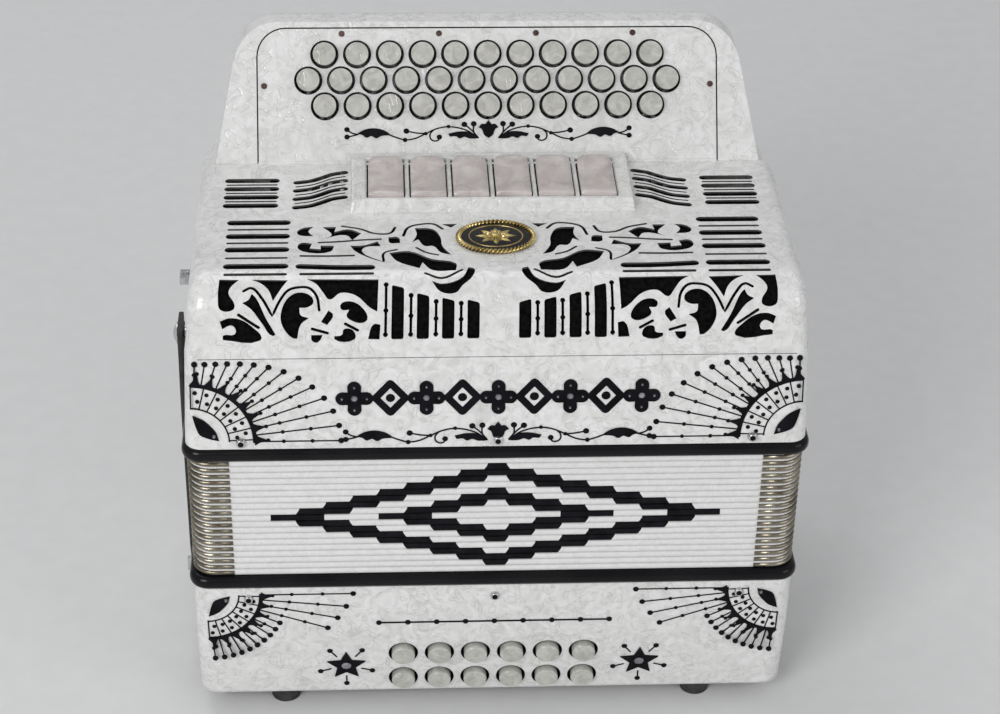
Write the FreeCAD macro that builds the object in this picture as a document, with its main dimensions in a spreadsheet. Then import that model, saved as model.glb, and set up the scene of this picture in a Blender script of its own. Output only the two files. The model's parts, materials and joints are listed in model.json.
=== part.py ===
import FreeCAD, Part

import math
import os

import Sketcher
from FreeCAD import Placement, Rotation, Vector

# A three-row button accordion standing closed on the feet of its bass end.
# X runs along the long side, +Y points to the player's side and +Z runs up along the bellows.
# The origin is on the floor under the middle of the instrument. Units are millimetres.

DRIVING_SIZES = (
    # the stack, from the floor up
    ("foot_height", 10, "feet under the bass case"),
    ("bass_height", 80, "bass case, feet to bellows frame"),
    ("frame_height", 8, "visible height of a bellows frame"),
    ("bellows_height", 74, "closed bellows between the frames"),
    ("wall_height", 51, "treble wall, bellows frame to grille seam"),
    ("cover_rise", 39, "grille cover, seam to flat top"),
    # the plan
    ("case_width", 320, "cases along X"),
    ("case_depth", 196, "cases along Y"),
    ("frame_lip", 2, "how far a bellows frame stands proud of the cases"),
    ("case_wall", 8, "wooden walls"),
    ("bass_lean", 9, "lean of the lower bass walls, degrees"),
    ("bass_lean_height", 48, "height of the leaning part of the bass walls"),
    ("wall_setback", 6, "how far the treble wall leans back at the seam"),
    ("side_taper", 2.5, "how far each treble side leans in at the seam"),
    ("corner_radius", 9, "upright corners of the cases"),
    # the bellows
    ("fold_count", 19, "folds of the bellows"),
    ("fold_depth", 16, "ridge to valley of one fold"),
    ("bellows_inset", 2.5, "fold ridges behind the frame edge"),
    ("opening_wall", 22, "frame edge to the air opening"),
    # the fingerboard
    ("board_base_y", 41, "front edge of the fingerboard"),
    ("board_length", 76, "fingerboard along its slope"),
    ("board_tilt", 32, "fingerboard slope back from vertical, degrees"),
    ("board_thickness", 3, "fingerboard plate"),
    ("neck_top_width", 270, "neck at its top"),
    ("neck_base_width", 296, "neck above its shoulders"),
    ("neck_corner", 24, "radius of the neck's top corners"),
    ("plate_width", 248, "fingerboard plate set into the neck"),
    ("plate_length", 72.5, "fingerboard plate along the slope"),
    ("plate_corner", 15.5, "radius of the plate's top corners"),
    ("shoulder_height", 247, "where the neck's shoulders start"),
    ("key_pitch", 17.6, "treble buttons along a row"),
    ("key_row_pitch", 13.9, "between the rows of treble buttons"),
    ("key_first_row", 30.6, "lowest row from the base of the board"),
    ("key_diameter", 12.2, "treble button"),
    ("key_bore", 14.6, "hole around a treble button"),
    ("key_proud", 4.5, "treble button above the plate"),
    ("key_axle_depth", 11, "axle below the face of the plate"),
    ("key_axle_diameter", 3, "axle of the treble keys"),
    # the grille and the registers
    ("cover_thickness", 2.5, "grille cover"),
    ("cover_radius", 20, "rounded front corner of the cover"),
    ("ridge_width", 148, "raised register ridge"),
    ("ridge_front_y", -10.5, "front face of the register ridge"),
    ("ridge_rise", 6, "ridge above the flat top"),
    ("tab_pitch", 22.3, "register tabs"),
    ("tab_width", 18.6, "register tab along X"),
    ("tab_length", 40, "register tab along Y"),
    ("medallion_width", 42, "oval badge on the grille, along X"),
    ("medallion_length", 33, "oval badge on the grille, along Y"),
    ("medallion_y", -42, "centre of the badge"),
    # the bass buttons and fittings
    ("bass_pitch", 19.6, "bass buttons along a row"),
    ("bass_low_row", 22.6, "height of the lower bass row"),
    ("bass_high_row", 42.3, "height of the upper bass row"),
    ("bass_button_diameter", 12.6, "bass button"),
    ("bass_bore", 16, "well around a bass button"),
    ("bass_proud", 3.2, "bass button above the wall"),
    ("foot_diameter", 16, "rubber foot"),
    ("foot_x", 114, "feet from the middle along X"),
    ("foot_y", 77.5, "feet from the middle along Y"),
    ("plate_recess", 3, "bass end plate above the case edge"),
    ("screw_x", 131, "outer case screws from the middle"),
    ("strap_y", -24, "middle of the bellows straps"),
    ("strap_width", 20, "bellows strap along Y"),
    ("strap_pin_z", 60, "height of the pins that the bellows straps swing on"),
    ("strap_snap_z", 204, "height of the studs that hold the bellows straps shut"),
)

KEY_COLUMNS = 12
BASS_COLUMNS = 6
REGISTER_TABS = 6
RUNNING_FIT = 0.05      # radial play of a pin in its bore
REST_GAP = 0.05         # felt of a closed pallet above the soundboard

document = FreeCAD.newDocument("accordion")
sizes = document.addObject("Spreadsheet::Sheet", "sizes")
for row, (alias, number, meaning) in enumerate(DRIVING_SIZES, start=1):
    sizes.set(f"A{row}", meaning)
    sizes.set(f"B{row}", str(number))
    sizes.setAlias(f"B{row}", alias)
document.recompute()

SUB_PARTS = []          # (node name, document object), in building order


def value(formula):
    """The number that a sheet formula gives."""
    return float(sizes.evalExpression(str(formula)))


def size(alias):
    """One driving size as a number."""
    return value(f"sizes.{alias}")


# Levels of the stack and other sizes worked out from the driving sizes, as sheet formulas.
BASS_BOTTOM = "sizes.foot_height"
BASS_TOP = "(sizes.foot_height + sizes.bass_height)"
PLATE_BOTTOM = "(sizes.foot_height + sizes.plate_recess)"
BELLOWS_BOTTOM = f"({BASS_TOP} + sizes.frame_height)"
BELLOWS_TOP = f"({BELLOWS_BOTTOM} + sizes.bellows_height)"
TREBLE_BOTTOM = f"({BELLOWS_TOP} + sizes.frame_height)"
SEAM = f"({TREBLE_BOTTOM} + sizes.wall_height)"
FLAT_TOP = f"({SEAM} + sizes.cover_rise)"
HALF_WIDTH = "(sizes.case_width / 2)"
HALF_DEPTH = "(sizes.case_depth / 2)"
FRAME_X = f"({HALF_WIDTH} + sizes.frame_lip)"
FRAME_Y = f"({HALF_DEPTH} + sizes.frame_lip)"
OPENING_X = f"({FRAME_X} - sizes.opening_wall)"
OPENING_Y = f"({FRAME_Y} - sizes.opening_wall)"
KINK = f"({BASS_BOTTOM} + sizes.bass_lean_height)"
BASS_FOOT_Y = f"({HALF_DEPTH} - sizes.bass_lean_height * tan(sizes.bass_lean))"
SOUNDBOARD_TOP = f"({SEAM} - 2)"
BOARD_TOP_Y = "(sizes.board_base_y + sizes.board_length * sin(sizes.board_tilt))"
BOARD_TOP_Z = f"({FLAT_TOP} + sizes.board_length * cos(sizes.board_tilt))"


def origin_plane(body, role):
    """One of a body's own origin planes."""
    return next(item for item in body.Origin.OriginFeatures if item.Role == role)


def outline(body, name, role, corners):
    """A closed polygon on an origin plane; each corner is a pair of sheet formulas."""
    sketch = body.newObject("Sketcher::SketchObject", name)
    sketch.AttachmentSupport = [(origin_plane(body, role), "")]
    sketch.MapMode = "FlatFace"
    places = [Vector(value(u), value(v), 0) for u, v in corners]
    for index, place in enumerate(places):
        sketch.addGeometry(Part.LineSegment(place, places[(index + 1) % len(places)]), False)
    for index, (u, v) in enumerate(corners):
        before = (index - 1) % len(corners)
        sketch.addConstraint(Sketcher.Constraint("Coincident", before, 2, index, 1))
        for kind, formula, letter in (("DistanceX", u, "u"), ("DistanceY", v, "v")):
            constraint = Sketcher.Constraint(kind, -1, 1, index, 1, value(formula))
            number = sketch.addConstraint(constraint)
            sketch.renameConstraint(number, f"{letter}{index}")
            sketch.setExpression(f"Constraints.{letter}{index}", str(formula))
    return sketch


def slab(name, role, corners, thickness):
    """A body padded to both sides of an origin plane from one polygon."""
    body = document.addObject("PartDesign::Body", name)
    pad = body.newObject("PartDesign::Pad", f"{name}_pad")
    pad.Profile = outline(body, f"{name}_outline", role, corners)
    pad.SideType = "Symmetric"
    pad.setExpression("Length", str(thickness))
    body.Tip = pad
    return body


def symmetric(corners):
    """Right-hand corners, given from bottom to top, followed by their mirror images."""
    return list(corners) + [(f"-({u})", v) for u, v in reversed(corners)]


def place(thing, x="0", y="0", z="0"):
    """Bind a thing's position to sheet formulas."""
    for axis, formula in (("x", x), ("y", y), ("z", z)):
        thing.setExpression(f"Placement.Base.{axis}", str(formula))


def box(name, x, y, z):
    """A box from low and high formulas along each axis."""
    thing = document.addObject("Part::Box", name)
    for side, (low, high) in (("Length", x), ("Width", y), ("Height", z)):
        thing.setExpression(side, f"({high}) - ({low})")
    place(thing, x[0], y[0], z[0])
    return thing


def centred_box(name, x, y, z):
    """A box about X = 0 and Y = 0 from its half sizes and its low and high Z."""
    return box(name, (f"-({x})", x), (f"-({y})", y), z)


def rod(name, radius, length, x, y, z, turn=None):
    """A cylinder from (x, y, z); turn is its axis of rotation and the formula of its angle."""
    thing = document.addObject("Part::Cylinder", name)
    thing.setExpression("Radius", str(radius))
    thing.setExpression("Height", str(length))
    if turn:
        axis, angle = turn
        thing.Placement = Placement(Vector(), Rotation(axis, value(angle)))
        thing.setExpression("Placement.Rotation.Angle", str(angle))
    place(thing, x, y, z)
    return thing


ALONG_X = (Vector(0, 1, 0), "90")
ALONG_Y = (Vector(-1, 0, 0), "90")
TO_FRONT = (Vector(1, 0, 0), "90")


def oval(name, along_x, along_y, low, thickness, y):
    """An elliptical plate about X = 0 from its two radii, its lower Z and its thickness."""
    edge = document.addObject("Part::Ellipse", f"{name}_edge")
    edge.setExpression("MajorRadius", along_x)
    edge.setExpression("MinorRadius", along_y)
    place(edge, "0", y, low)
    plate = document.addObject("Part::Extrusion", name)
    plate.Base = edge
    plate.DirMode = "Custom"
    plate.Dir = Vector(0, 0, 1)
    plate.Solid = True
    plate.setExpression("LengthFwd", str(thickness))
    return plate


def fuse(name, things):
    joined = document.addObject("Part::MultiFuse", name)
    joined.Shapes = things
    return joined


def cut(name, base, tool):
    rest = document.addObject("Part::Cut", name)
    rest.Base = base
    rest.Tool = tool
    return rest


def common(name, first, second):
    shared = document.addObject("Part::Common", name)
    shared.Base = first
    shared.Tool = second
    return shared


def group(name, things):
    """Separate solids kept together in one object."""
    collection = document.addObject("Part::Compound", name)
    collection.Links = things
    return collection


def keep(node, thing):
    """Hand an object in as a sub-part under its node name."""
    thing.Label = node
    SUB_PARTS.append((node, thing))


def rounded(name, base, radius_of):
    """A filleted copy of a thing; radius_of gives an edge's radius, or nothing to leave it sharp."""
    document.recompute()
    edges = []
    for number, edge in enumerate(base.Shape.Edges, start=1):
        radius = radius_of(edge)
        if radius:
            edges.append((number, radius, radius))
    fillet = document.addObject("Part::Fillet", name)
    fillet.Base = base
    fillet.Edges = edges
    return fillet


def upright(edge, reach):
    """Whether an edge climbs at an outer corner, at least reach from the middle along X."""
    bounds = edge.BoundBox
    return abs(edge.CenterOfMass.x) > reach and bounds.ZLength > 5 and bounds.YLength < 15


def ring(name, outer, inner, z):
    """A rectangular ring from outer and inner half sizes (x, y) and low and high Z."""
    whole = centred_box(f"{name}_outside", outer[0], outer[1], z)
    hole = centred_box(f"{name}_inside", inner[0], inner[1], (f"{z[0]} - 1", f"{z[1]} + 1"))
    return cut(name, whole, hole)


def bass_wall_y(height):
    """Outer face of the bass front wall at a height, as a positive formula."""
    return f"({HALF_DEPTH} - ({KINK} - ({height})) * tan(sizes.bass_lean))"


def case_screws(name, height, front_y, back_y):
    """Three domed screws through the front wall and three through the back wall."""
    screws = []
    for side, turn, wall_y in ((-1, ALONG_Y, front_y), (1, TO_FRONT, back_y)):
        for column, x in enumerate(("-sizes.screw_x", "0", "sizes.screw_x")):
            label = f"{name}_{'front' if side < 0 else 'back'}_{column}"
            head = document.addObject("Part::Cone", f"{label}_head")
            head.Radius1 = 2.2
            head.Radius2 = 2.7
            head.Height = 1.8
            head.Placement = Placement(Vector(), Rotation(turn[0], 90))
            place(head, x, f"{side} * ({wall_y} + 1.8)", height)
            shank = rod(f"{label}_shank", 2, 15, x, f"{side} * ({wall_y} + 0.2)", height, turn)
            screws.append(fuse(label, [head, shank]))
    return group(name, screws)


def screw_bores(name, height):
    """Clearance for the shanks of the case screws, right through the case."""
    bores = [
        rod(f"{name}_{column}", 2.02, f"2 * {FRAME_Y} + 20", x, f"-{FRAME_Y} - 10", height, ALONG_Y)
        for column, x in enumerate(("-sizes.screw_x", "0", "sizes.screw_x"))
    ]
    return group(name, bores)


# ---------------------------------------------------------------- bass end
BASS_SCREW_Z = f"({BASS_TOP} - 7)"
TREBLE_SCREW_Z = f"({TREBLE_BOTTOM} + 4)"
TREBLE_SCREW_Y = f"({HALF_DEPTH} - sizes.wall_setback * 4 / sizes.wall_height + 0.5)"


def bass_rows():
    """Node number, X formula and height formula of each bass button."""
    for row, height in enumerate(("sizes.bass_high_row", "sizes.bass_low_row")):
        for column in range(BASS_COLUMNS):
            x = f"({column} - {(BASS_COLUMNS - 1) / 2}) * sizes.bass_pitch"
            yield row * BASS_COLUMNS + column + 1, x, height


def wall_rod(name, radius, low, high, x, height, side=-1):
    """A cylinder square to a leaning bass wall, from low to high outwards of its face."""
    turn = (Vector(-side, 0, 0), "90 + sizes.bass_lean")
    y = f"{side} * ({bass_wall_y(height)} + ({low}) * cos(sizes.bass_lean))"
    z = f"{height} - ({low}) * sin(sizes.bass_lean)"
    return rod(name, radius, f"({high}) - ({low})", x, y, z, turn)


AIR_X = "-110"
AIR_Z = "36"


def bass_case():
    side = [(BASS_FOOT_Y, BASS_BOTTOM), (HALF_DEPTH, KINK), (HALF_DEPTH, BASS_TOP)]
    hollow = [
        (f"{BASS_FOOT_Y} - sizes.case_wall", f"{BASS_BOTTOM} - 1"),
        (f"{HALF_DEPTH} - sizes.case_wall", KINK),
        (f"{HALF_DEPTH} - sizes.case_wall", f"{BASS_TOP} + 1"),
    ]
    walls = slab("bass_walls", "YZ_Plane", symmetric(side), "sizes.case_width")
    inside = slab("bass_hollow", "YZ_Plane", symmetric(hollow), "sizes.case_width - 2 * sizes.case_wall")
    bottom = value(BASS_BOTTOM)
    reach = value(HALF_WIDTH) - 1

    def radius_of(edge):
        if upright(edge, reach):
            return size("corner_radius")
        return 5 if edge.BoundBox.ZMax < bottom + 1 else None

    shell = cut("bass_shell", rounded("bass_rounded", walls, radius_of), inside)
    wells = [
        wall_rod(f"bass_well_{number}", "sizes.bass_bore / 2", "-20", "10", x, height)
        for number, x, height in bass_rows()
    ]
    wells.append(wall_rod("air_well", 8.5, "-20", "10", AIR_X, AIR_Z, side=1))
    wells.append(screw_bores("bass_case_bores", BASS_SCREW_Z))
    keep("bass_case", cut("bass_case", shell, group("bass_wells", wells)))


def bass_end_plate():
    plate = centred_box(
        "plate_blank",
        f"{HALF_WIDTH} - sizes.case_wall - 0.1",
        f"{BASS_FOOT_Y} - sizes.case_wall - 0.1",
        (PLATE_BOTTOM, f"{PLATE_BOTTOM} + 4"),
    )
    slots = [
        box(f"plate_slot_{index}", (f"{x} - 2", f"{x} + 2"), ("-60", "-20"), ("5", "25"))
        for index, x in enumerate(range(-70, 71, 10))
    ]
    keep("bass_end_plate", cut("bass_end_plate", plate, group("plate_slots", slots)))


def feet():
    """Rubber feet under the corners, each with a neck that screws into the end plate."""
    pads = []
    for x in (-1, 1):
        for y in (-1, 1):
            label = f"foot_{'right' if x > 0 else 'left'}_{'back' if y > 0 else 'front'}"
            spot = (f"{x} * sizes.foot_x", f"{y} * sizes.foot_y")
            pad = rod(f"{label}_pad", "sizes.foot_diameter / 2", "sizes.foot_height", *spot, "0")
            neck = rod(f"{label}_neck", "sizes.foot_diameter / 4", PLATE_BOTTOM, *spot, "0")
            pads.append(fuse(label, [pad, neck]))
    keep("feet", group("feet", pads))


STRAP_Y = ("8", "58")
CASE_SIDE = size("case_width") / 2
STRAP_INNER = CASE_SIDE + 3.4       # inner face of the bellows straps
STRAP_OUTER = STRAP_INNER + 3
PIN_X = CASE_SIDE + 5.2             # pins of the bellows straps, eyes of the shoulder straps
PIN_RADIUS = 1.5
PIN_LOOP = 3.3                      # radius of a strap's loop around its pin


def hand_strap():
    under = [("142", "10"), ("124", "10"), ("112", "3")]
    over = [("112", "6"), ("122.5", "13"), ("142", "13")]
    corners = [(f"-{u}", v) for u, v in under] + [(u, v) for u, v in reversed(under)]
    corners += [(u, v) for u, v in reversed(over)] + [(f"-{u}", v) for u, v in over]
    strap = slab("hand_strap_band", "XZ_Plane", corners, f"{STRAP_Y[1]} - {STRAP_Y[0]}")
    place(strap, "0", f"({STRAP_Y[0]} + {STRAP_Y[1]}) / 2", "0")
    keep("hand_strap", strap)


def strap_anchors():
    """Clamps of the hand strap, and plates with pins that the bellows straps swing on."""
    things = []
    for side, label in ((-1, "left"), (1, "right")):
        clamp = box(f"hand_clamp_{label}", sorted((side * 126, side * 144)),
                    (f"{STRAP_Y[0]} - 3", f"{STRAP_Y[1]} + 3"), ("6.5", "10"))
        post = box(f"hand_clamp_post_{label}", sorted((side * 142.1, side * 144)),
                   (STRAP_Y[0], STRAP_Y[1]), ("9.9", PLATE_BOTTOM))
        things.append(fuse(f"hand_anchor_{label}", [clamp, post]))
        plate = box(f"anchor_plate_{label}", sorted((side * CASE_SIDE, side * (CASE_SIDE + 1.3))),
                    ("sizes.strap_y - 16", "sizes.strap_y + 16"),
                    ("sizes.strap_pin_z - 10", "sizes.strap_pin_z + 12"))
        lugs = [
            box(f"anchor_lug_{label}_{index}", sorted((side * (CASE_SIDE + 1), side * (PIN_X + 2.8))),
                (f"sizes.strap_y + {low}", f"sizes.strap_y + {low} + 3"),
                ("sizes.strap_pin_z - 4", "sizes.strap_pin_z + 4"))
            for index, low in enumerate((-13.5, 10.5))
        ]
        pin = rod(f"anchor_pin_{label}", PIN_RADIUS, 25, side * PIN_X, "sizes.strap_y - 12.5",
                  "sizes.strap_pin_z", ALONG_Y)
        things.append(fuse(f"bellows_anchor_{label}", [plate, *lugs, pin]))
    keep("strap_anchors", group("strap_anchors", things))


def bellows_straps():
    """Straps that hold the bellows shut, each with a loop on its pin and a snap near its top."""
    half = "sizes.strap_width / 2"
    across = (f"sizes.strap_y - {half}", f"sizes.strap_y + {half}")
    pin_z = "sizes.strap_pin_z"
    for side, label in ((-1, "left"), (1, "right")):
        band_x = sorted((side * STRAP_INNER, side * STRAP_OUTER))
        pin_x = side * PIN_X
        band = box(f"band_{label}", band_x, across, (f"{pin_z} - 2.4", "sizes.strap_snap_z + 9"))
        loop = rod(f"loop_{label}", PIN_LOOP, "sizes.strap_width", pin_x, across[0], pin_z, ALONG_Y)
        snap_x = min(side * STRAP_OUTER, side * (STRAP_OUTER + 2.2))
        snap = rod(f"snap_{label}", 6, 2.2, snap_x, "sizes.strap_y", "sizes.strap_snap_z", ALONG_X)
        solid = fuse(f"strap_solid_{label}", [band, loop, snap])
        bore = rod(f"strap_bore_{label}", PIN_RADIUS + RUNNING_FIT, "2 * sizes.strap_width", pin_x,
                   "sizes.strap_y - sizes.strap_width", pin_z, ALONG_Y)
        keep(f"bellows_strap_{label}", cut(f"bellows_strap_{label}", solid, bore))


def bass_soundboard():
    board = centred_box(
        "bass_board", f"{HALF_WIDTH} - sizes.case_wall - 0.1", f"{HALF_DEPTH} - sizes.case_wall - 0.1",
        (KINK, f"{KINK} + 6"),
    )
    holes = [
        box(f"bass_hole_{row}_{column}", (f"{x} - 6", f"{x} + 6"), (f"{y} - 4", f"{y} + 4"), ("50", "80"))
        for row, y in enumerate((-35, 35))
        for column, x in enumerate(range(-110, 111, 22))
    ]
    keep("bass_soundboard", cut("bass_soundboard", board, group("bass_holes", holes)))


def reed_block(name, y, low, high, reach, count):
    """A wooden block with a row of reed chambers open on both faces."""
    block = box(name + "_wood", (f"-{reach}", reach), (f"{y} - 11", f"{y} + 11"), (low, high))
    pitch = 2 * reach / count
    chambers = [
        box(f"{name}_chamber_{index}",
            (f"{-reach + pitch * index + 2}", f"{-reach + pitch * (index + 1) - 2}"),
            (f"{y} - 12", f"{y} - 2"), (f"{low} + 4", f"{high} - 4"))
        for index in range(count)
    ]
    return cut(name, block, group(name + "_chambers", chambers))


def bass_reed_blocks():
    low = f"{KINK} + 6"
    blocks = [
        reed_block(f"bass_block_{row}", y, low, f"{low} + 30", 118, 11)
        for row, y in enumerate((-35, 35))
    ]
    keep("bass_reed_blocks", group("bass_reed_blocks", blocks))


def bellows_frame(node, low, tongue, screw_height):
    """A frame at one end of the bellows, with a tongue inside the case that the screws hold."""
    lip = ring(f"{node}_lip", (FRAME_X, FRAME_Y), (OPENING_X, OPENING_Y),
               (low, f"{low} + sizes.frame_height"))
    reach_x = value(FRAME_X) - 1
    reach_y = value(FRAME_Y) - 1

    def corner_of(edge):
        return size("corner_radius") + 1 if upright(edge, reach_x) else None

    def bead_of(edge):
        bounds = edge.BoundBox
        outer_x = max(abs(bounds.XMax), abs(bounds.XMin)) > reach_x
        outer_y = max(abs(bounds.YMax), abs(bounds.YMin)) > reach_y
        return 3.6 if (outer_x or outer_y) and bounds.ZLength < 1 else None

    bead = rounded(f"{node}_bead", rounded(f"{node}_corners", lip, corner_of), bead_of)
    inner = (f"{HALF_WIDTH} - sizes.case_wall - 0.1",
             f"{HALF_DEPTH} - sizes.case_wall - sizes.wall_setback / 4 - 0.1")
    tongue_ring = ring(f"{node}_tongue", inner, (OPENING_X, OPENING_Y), tongue)
    whole = fuse(f"{node}_whole", [bead, tongue_ring])
    keep(node, cut(node, whole, screw_bores(f"{node}_bores", screw_height)))


def bass_button_guide():
    """A leaning rail behind the bass wall whose bores guide the button stems."""
    blank = document.addObject("Part::Box", "guide_blank")
    blank.Length = 130
    blank.Width = 6
    blank.Height = 80
    blank.Placement = Placement(Vector(), Rotation(Vector(1, 0, 0), size("bass_lean")))
    blank.setExpression("Placement.Rotation.Angle", "sizes.bass_lean")
    place(blank, "-65", f"-{bass_wall_y('0')} + 18", "0")
    room = box("guide_room", ("-65", "65"), ("-100", "-20"), (f"{PLATE_BOTTOM} + 4", KINK))
    rail = common("guide_rail", blank, room)
    bores = [
        wall_rod(f"guide_bore_{number}", 2.5 + RUNNING_FIT, "-45", "5", x, height)
        for number, x, height in bass_rows()
    ]
    keep("bass_button_guide", cut("bass_button_guide", rail, group("guide_bores", bores)))


def bass_buttons():
    for number, x, height in bass_rows():
        cap = wall_rod(f"bass_cap_{number}", "sizes.bass_button_diameter / 2", "-6", "sizes.bass_proud",
                       x, height)
        stem = wall_rod(f"bass_stem_{number}", 2.5, "-36", "-5", x, height)
        keep(f"bass_button_{number:02d}", fuse(f"bass_button_{number:02d}", [cap, stem]))


def air_button():
    cap = wall_rod("air_cap", 7, "-7", "2.5", AIR_X, AIR_Z, side=1)
    stem = wall_rod("air_stem", 2.5, "-30", "-6", AIR_X, AIR_Z, side=1)
    flap = wall_rod("air_flap", 9, "-33", "-29", AIR_X, AIR_Z, side=1)
    keep("air_button", fuse("air_button", [cap, stem, flap]))


# ---------------------------------------------------------------- bellows
def pleated_wall(x, y, low, pitch, count, depth):
    """A solid with zigzag walls: its ridges reach (x, y) and its valleys lie depth inside."""
    levels = []
    for index in range(2 * count + 1):
        inset = depth if index % 2 == 0 else 0
        z = low + pitch * index / 2
        corners = [
            Vector(sx * (x - inset), sy * (y - inset), z)
            for sx, sy in ((-1, -1), (1, -1), (1, 1), (-1, 1))
        ]
        levels.append(Part.makePolygon(corners + corners[:1]))
    return Part.makeLoft(levels, True, True)


def bellows():
    """The pleated card and its metal corner caps, one set of four caps on every fold."""
    count = int(size("fold_count"))
    low = value(BELLOWS_BOTTOM)
    pitch = size("bellows_height") / count
    x = value(FRAME_X) - size("bellows_inset")
    y = value(FRAME_Y) - size("bellows_inset")
    depth = size("fold_depth")
    skin = 5
    outside = pleated_wall(x, y, low, pitch, count, depth)
    inside = pleated_wall(x - skin, y - skin, low, pitch, count, depth)
    folds = document.addObject("Part::Feature", "bellows_folds")
    folds.Shape = outside.cut(inside)
    folds.Placement = Placement()
    keep("bellows_folds", folds)

    reach = 26
    plate = 0.5
    caps = []
    for index in range(count):
        z = low + pitch * (index + 0.5) - 0.9
        for sx in (-1, 1):
            for sy in (-1, 1):
                along_x = Part.makeBox(reach, plate, 1.8, Vector(x + plate - reach, y, z))
                along_y = Part.makeBox(plate, reach, 1.8, Vector(x, y + plate - reach, z))
                cap = along_x.fuse(along_y).removeSplitter()
                if sx < 0:
                    cap = cap.mirror(Vector(), Vector(1, 0, 0))
                if sy < 0:
                    cap = cap.mirror(Vector(), Vector(0, 1, 0))
                caps.append(cap)
    guards = document.addObject("Part::Feature", "bellows_corners")
    guards.Shape = Part.makeCompound(caps)
    guards.Placement = Placement()
    keep("bellows_corners", guards)


# ---------------------------------------------------------------- treble end
def treble_case():
    outer = [
        (f"-{HALF_DEPTH}", TREBLE_BOTTOM),
        (HALF_DEPTH, TREBLE_BOTTOM),
        (HALF_DEPTH, "sizes.shoulder_height"),
        ("sizes.board_base_y", "sizes.shoulder_height"),
        ("sizes.board_base_y", SEAM),
        (f"-{HALF_DEPTH} + sizes.wall_setback", SEAM),
    ]
    sides = [(HALF_WIDTH, TREBLE_BOTTOM), (f"{HALF_WIDTH} - sizes.side_taper", "sizes.shoulder_height")]
    profile = slab("treble_profile", "YZ_Plane", outer, "sizes.case_width + 20")
    width = slab("treble_width", "XZ_Plane", symmetric(sides), "sizes.case_depth + 20")
    reach = value(HALF_WIDTH) - size("side_taper") - 1

    def radius_of(edge):
        at_corner = upright(edge, reach) and abs(edge.CenterOfMass.y) > 85
        return size("corner_radius") if at_corner else None

    blank = rounded("treble_rounded", common("treble_blank", profile, width), radius_of)
    hollow = centred_box(
        "treble_hollow", f"{HALF_WIDTH} - sizes.case_wall",
        f"{HALF_DEPTH} - sizes.case_wall - sizes.wall_setback / 4", (f"{TREBLE_BOTTOM} - 1", "400"),
    )
    shell = cut("treble_shell", blank, hollow)
    keep("treble_case", cut("treble_case", shell, screw_bores("treble_case_bores", TREBLE_SCREW_Z)))


PALLET_ROWS = (10, -20, -50)        # Y of the pallets of the lowest, middle and highest row


def key_places():
    """Column, row, X formula and slope formula of every treble button; row 0 is the lowest."""
    for column in range(KEY_COLUMNS):
        for row in (0, 1, 2):
            middle_row = row == 1
            if not middle_row and column == KEY_COLUMNS - 1:
                continue
            shift = (KEY_COLUMNS - 1) / 2 if middle_row else (KEY_COLUMNS - 2) / 2
            x = f"({column} - {shift}) * sizes.key_pitch"
            yield column, row, x, f"(sizes.key_first_row + {row} * sizes.key_row_pitch)"


def treble_soundboard():
    inner_y = f"{HALF_DEPTH} - sizes.case_wall - sizes.wall_setback / 4 - 0.1"
    board = centred_box(
        "treble_board", f"{HALF_WIDTH} - sizes.case_wall - 0.1", inner_y,
        (f"{SOUNDBOARD_TOP} - 8", SOUNDBOARD_TOP),
    )
    holes = [
        box(f"tone_hole_{column}_{row}", (f"{x} - 4", f"{x} + 4"),
            (f"{PALLET_ROWS[row]} - 7", f"{PALLET_ROWS[row]} + 7"), ("200", "240"))
        for column, row, x, slope in key_places()
    ]
    keep("treble_soundboard", cut("treble_soundboard", board, group("tone_holes", holes)))


def treble_reed_blocks():
    high = f"{SOUNDBOARD_TOP} - 8"
    blocks = [
        reed_block(f"treble_block_{row}", y, f"{high} - 28", high, 115, 12)
        for row, y in enumerate(PALLET_ROWS)
    ]
    keep("treble_reed_blocks", group("treble_reed_blocks", blocks))


def cover_core(name, inset):
    """The solid shape of the grille cover, smaller all round by an inset."""
    corners = [
        (f"-{HALF_DEPTH} + sizes.wall_setback + {inset}", f"{SEAM}"),
        (f"-{HALF_DEPTH} + sizes.wall_setback + 4.5 + {inset}", f"{FLAT_TOP} - {inset}"),
        ("sizes.board_base_y", f"{FLAT_TOP} - {inset}"),
        ("sizes.board_base_y", SEAM),
    ]
    sides = [
        (f"{HALF_WIDTH} - sizes.side_taper - {inset}", SEAM),
        (f"{HALF_WIDTH} - sizes.side_taper - 1.5 - {inset}", f"{FLAT_TOP} + 40"),
    ]
    profile = slab(f"{name}_profile", "YZ_Plane", corners, "sizes.case_width + 20")
    width = slab(f"{name}_width", "XZ_Plane", symmetric(sides), "sizes.case_depth + 20")
    blank = common(f"{name}_blank", profile, width)
    top = value(FLAT_TOP) - inset

    def radius_of(edge):
        middle = edge.CenterOfMass
        if upright(edge, 150) and middle.y < -80:
            return size("corner_radius") - inset
        if abs(middle.z - top) > 0.5:
            return None
        if middle.y < -50 and edge.BoundBox.XLength > 100:
            return size("cover_radius") - inset
        return 7 - inset if abs(middle.x) > 100 and edge.BoundBox.YLength > 50 else None

    return rounded(f"{name}_rounded", blank, radius_of)


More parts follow.
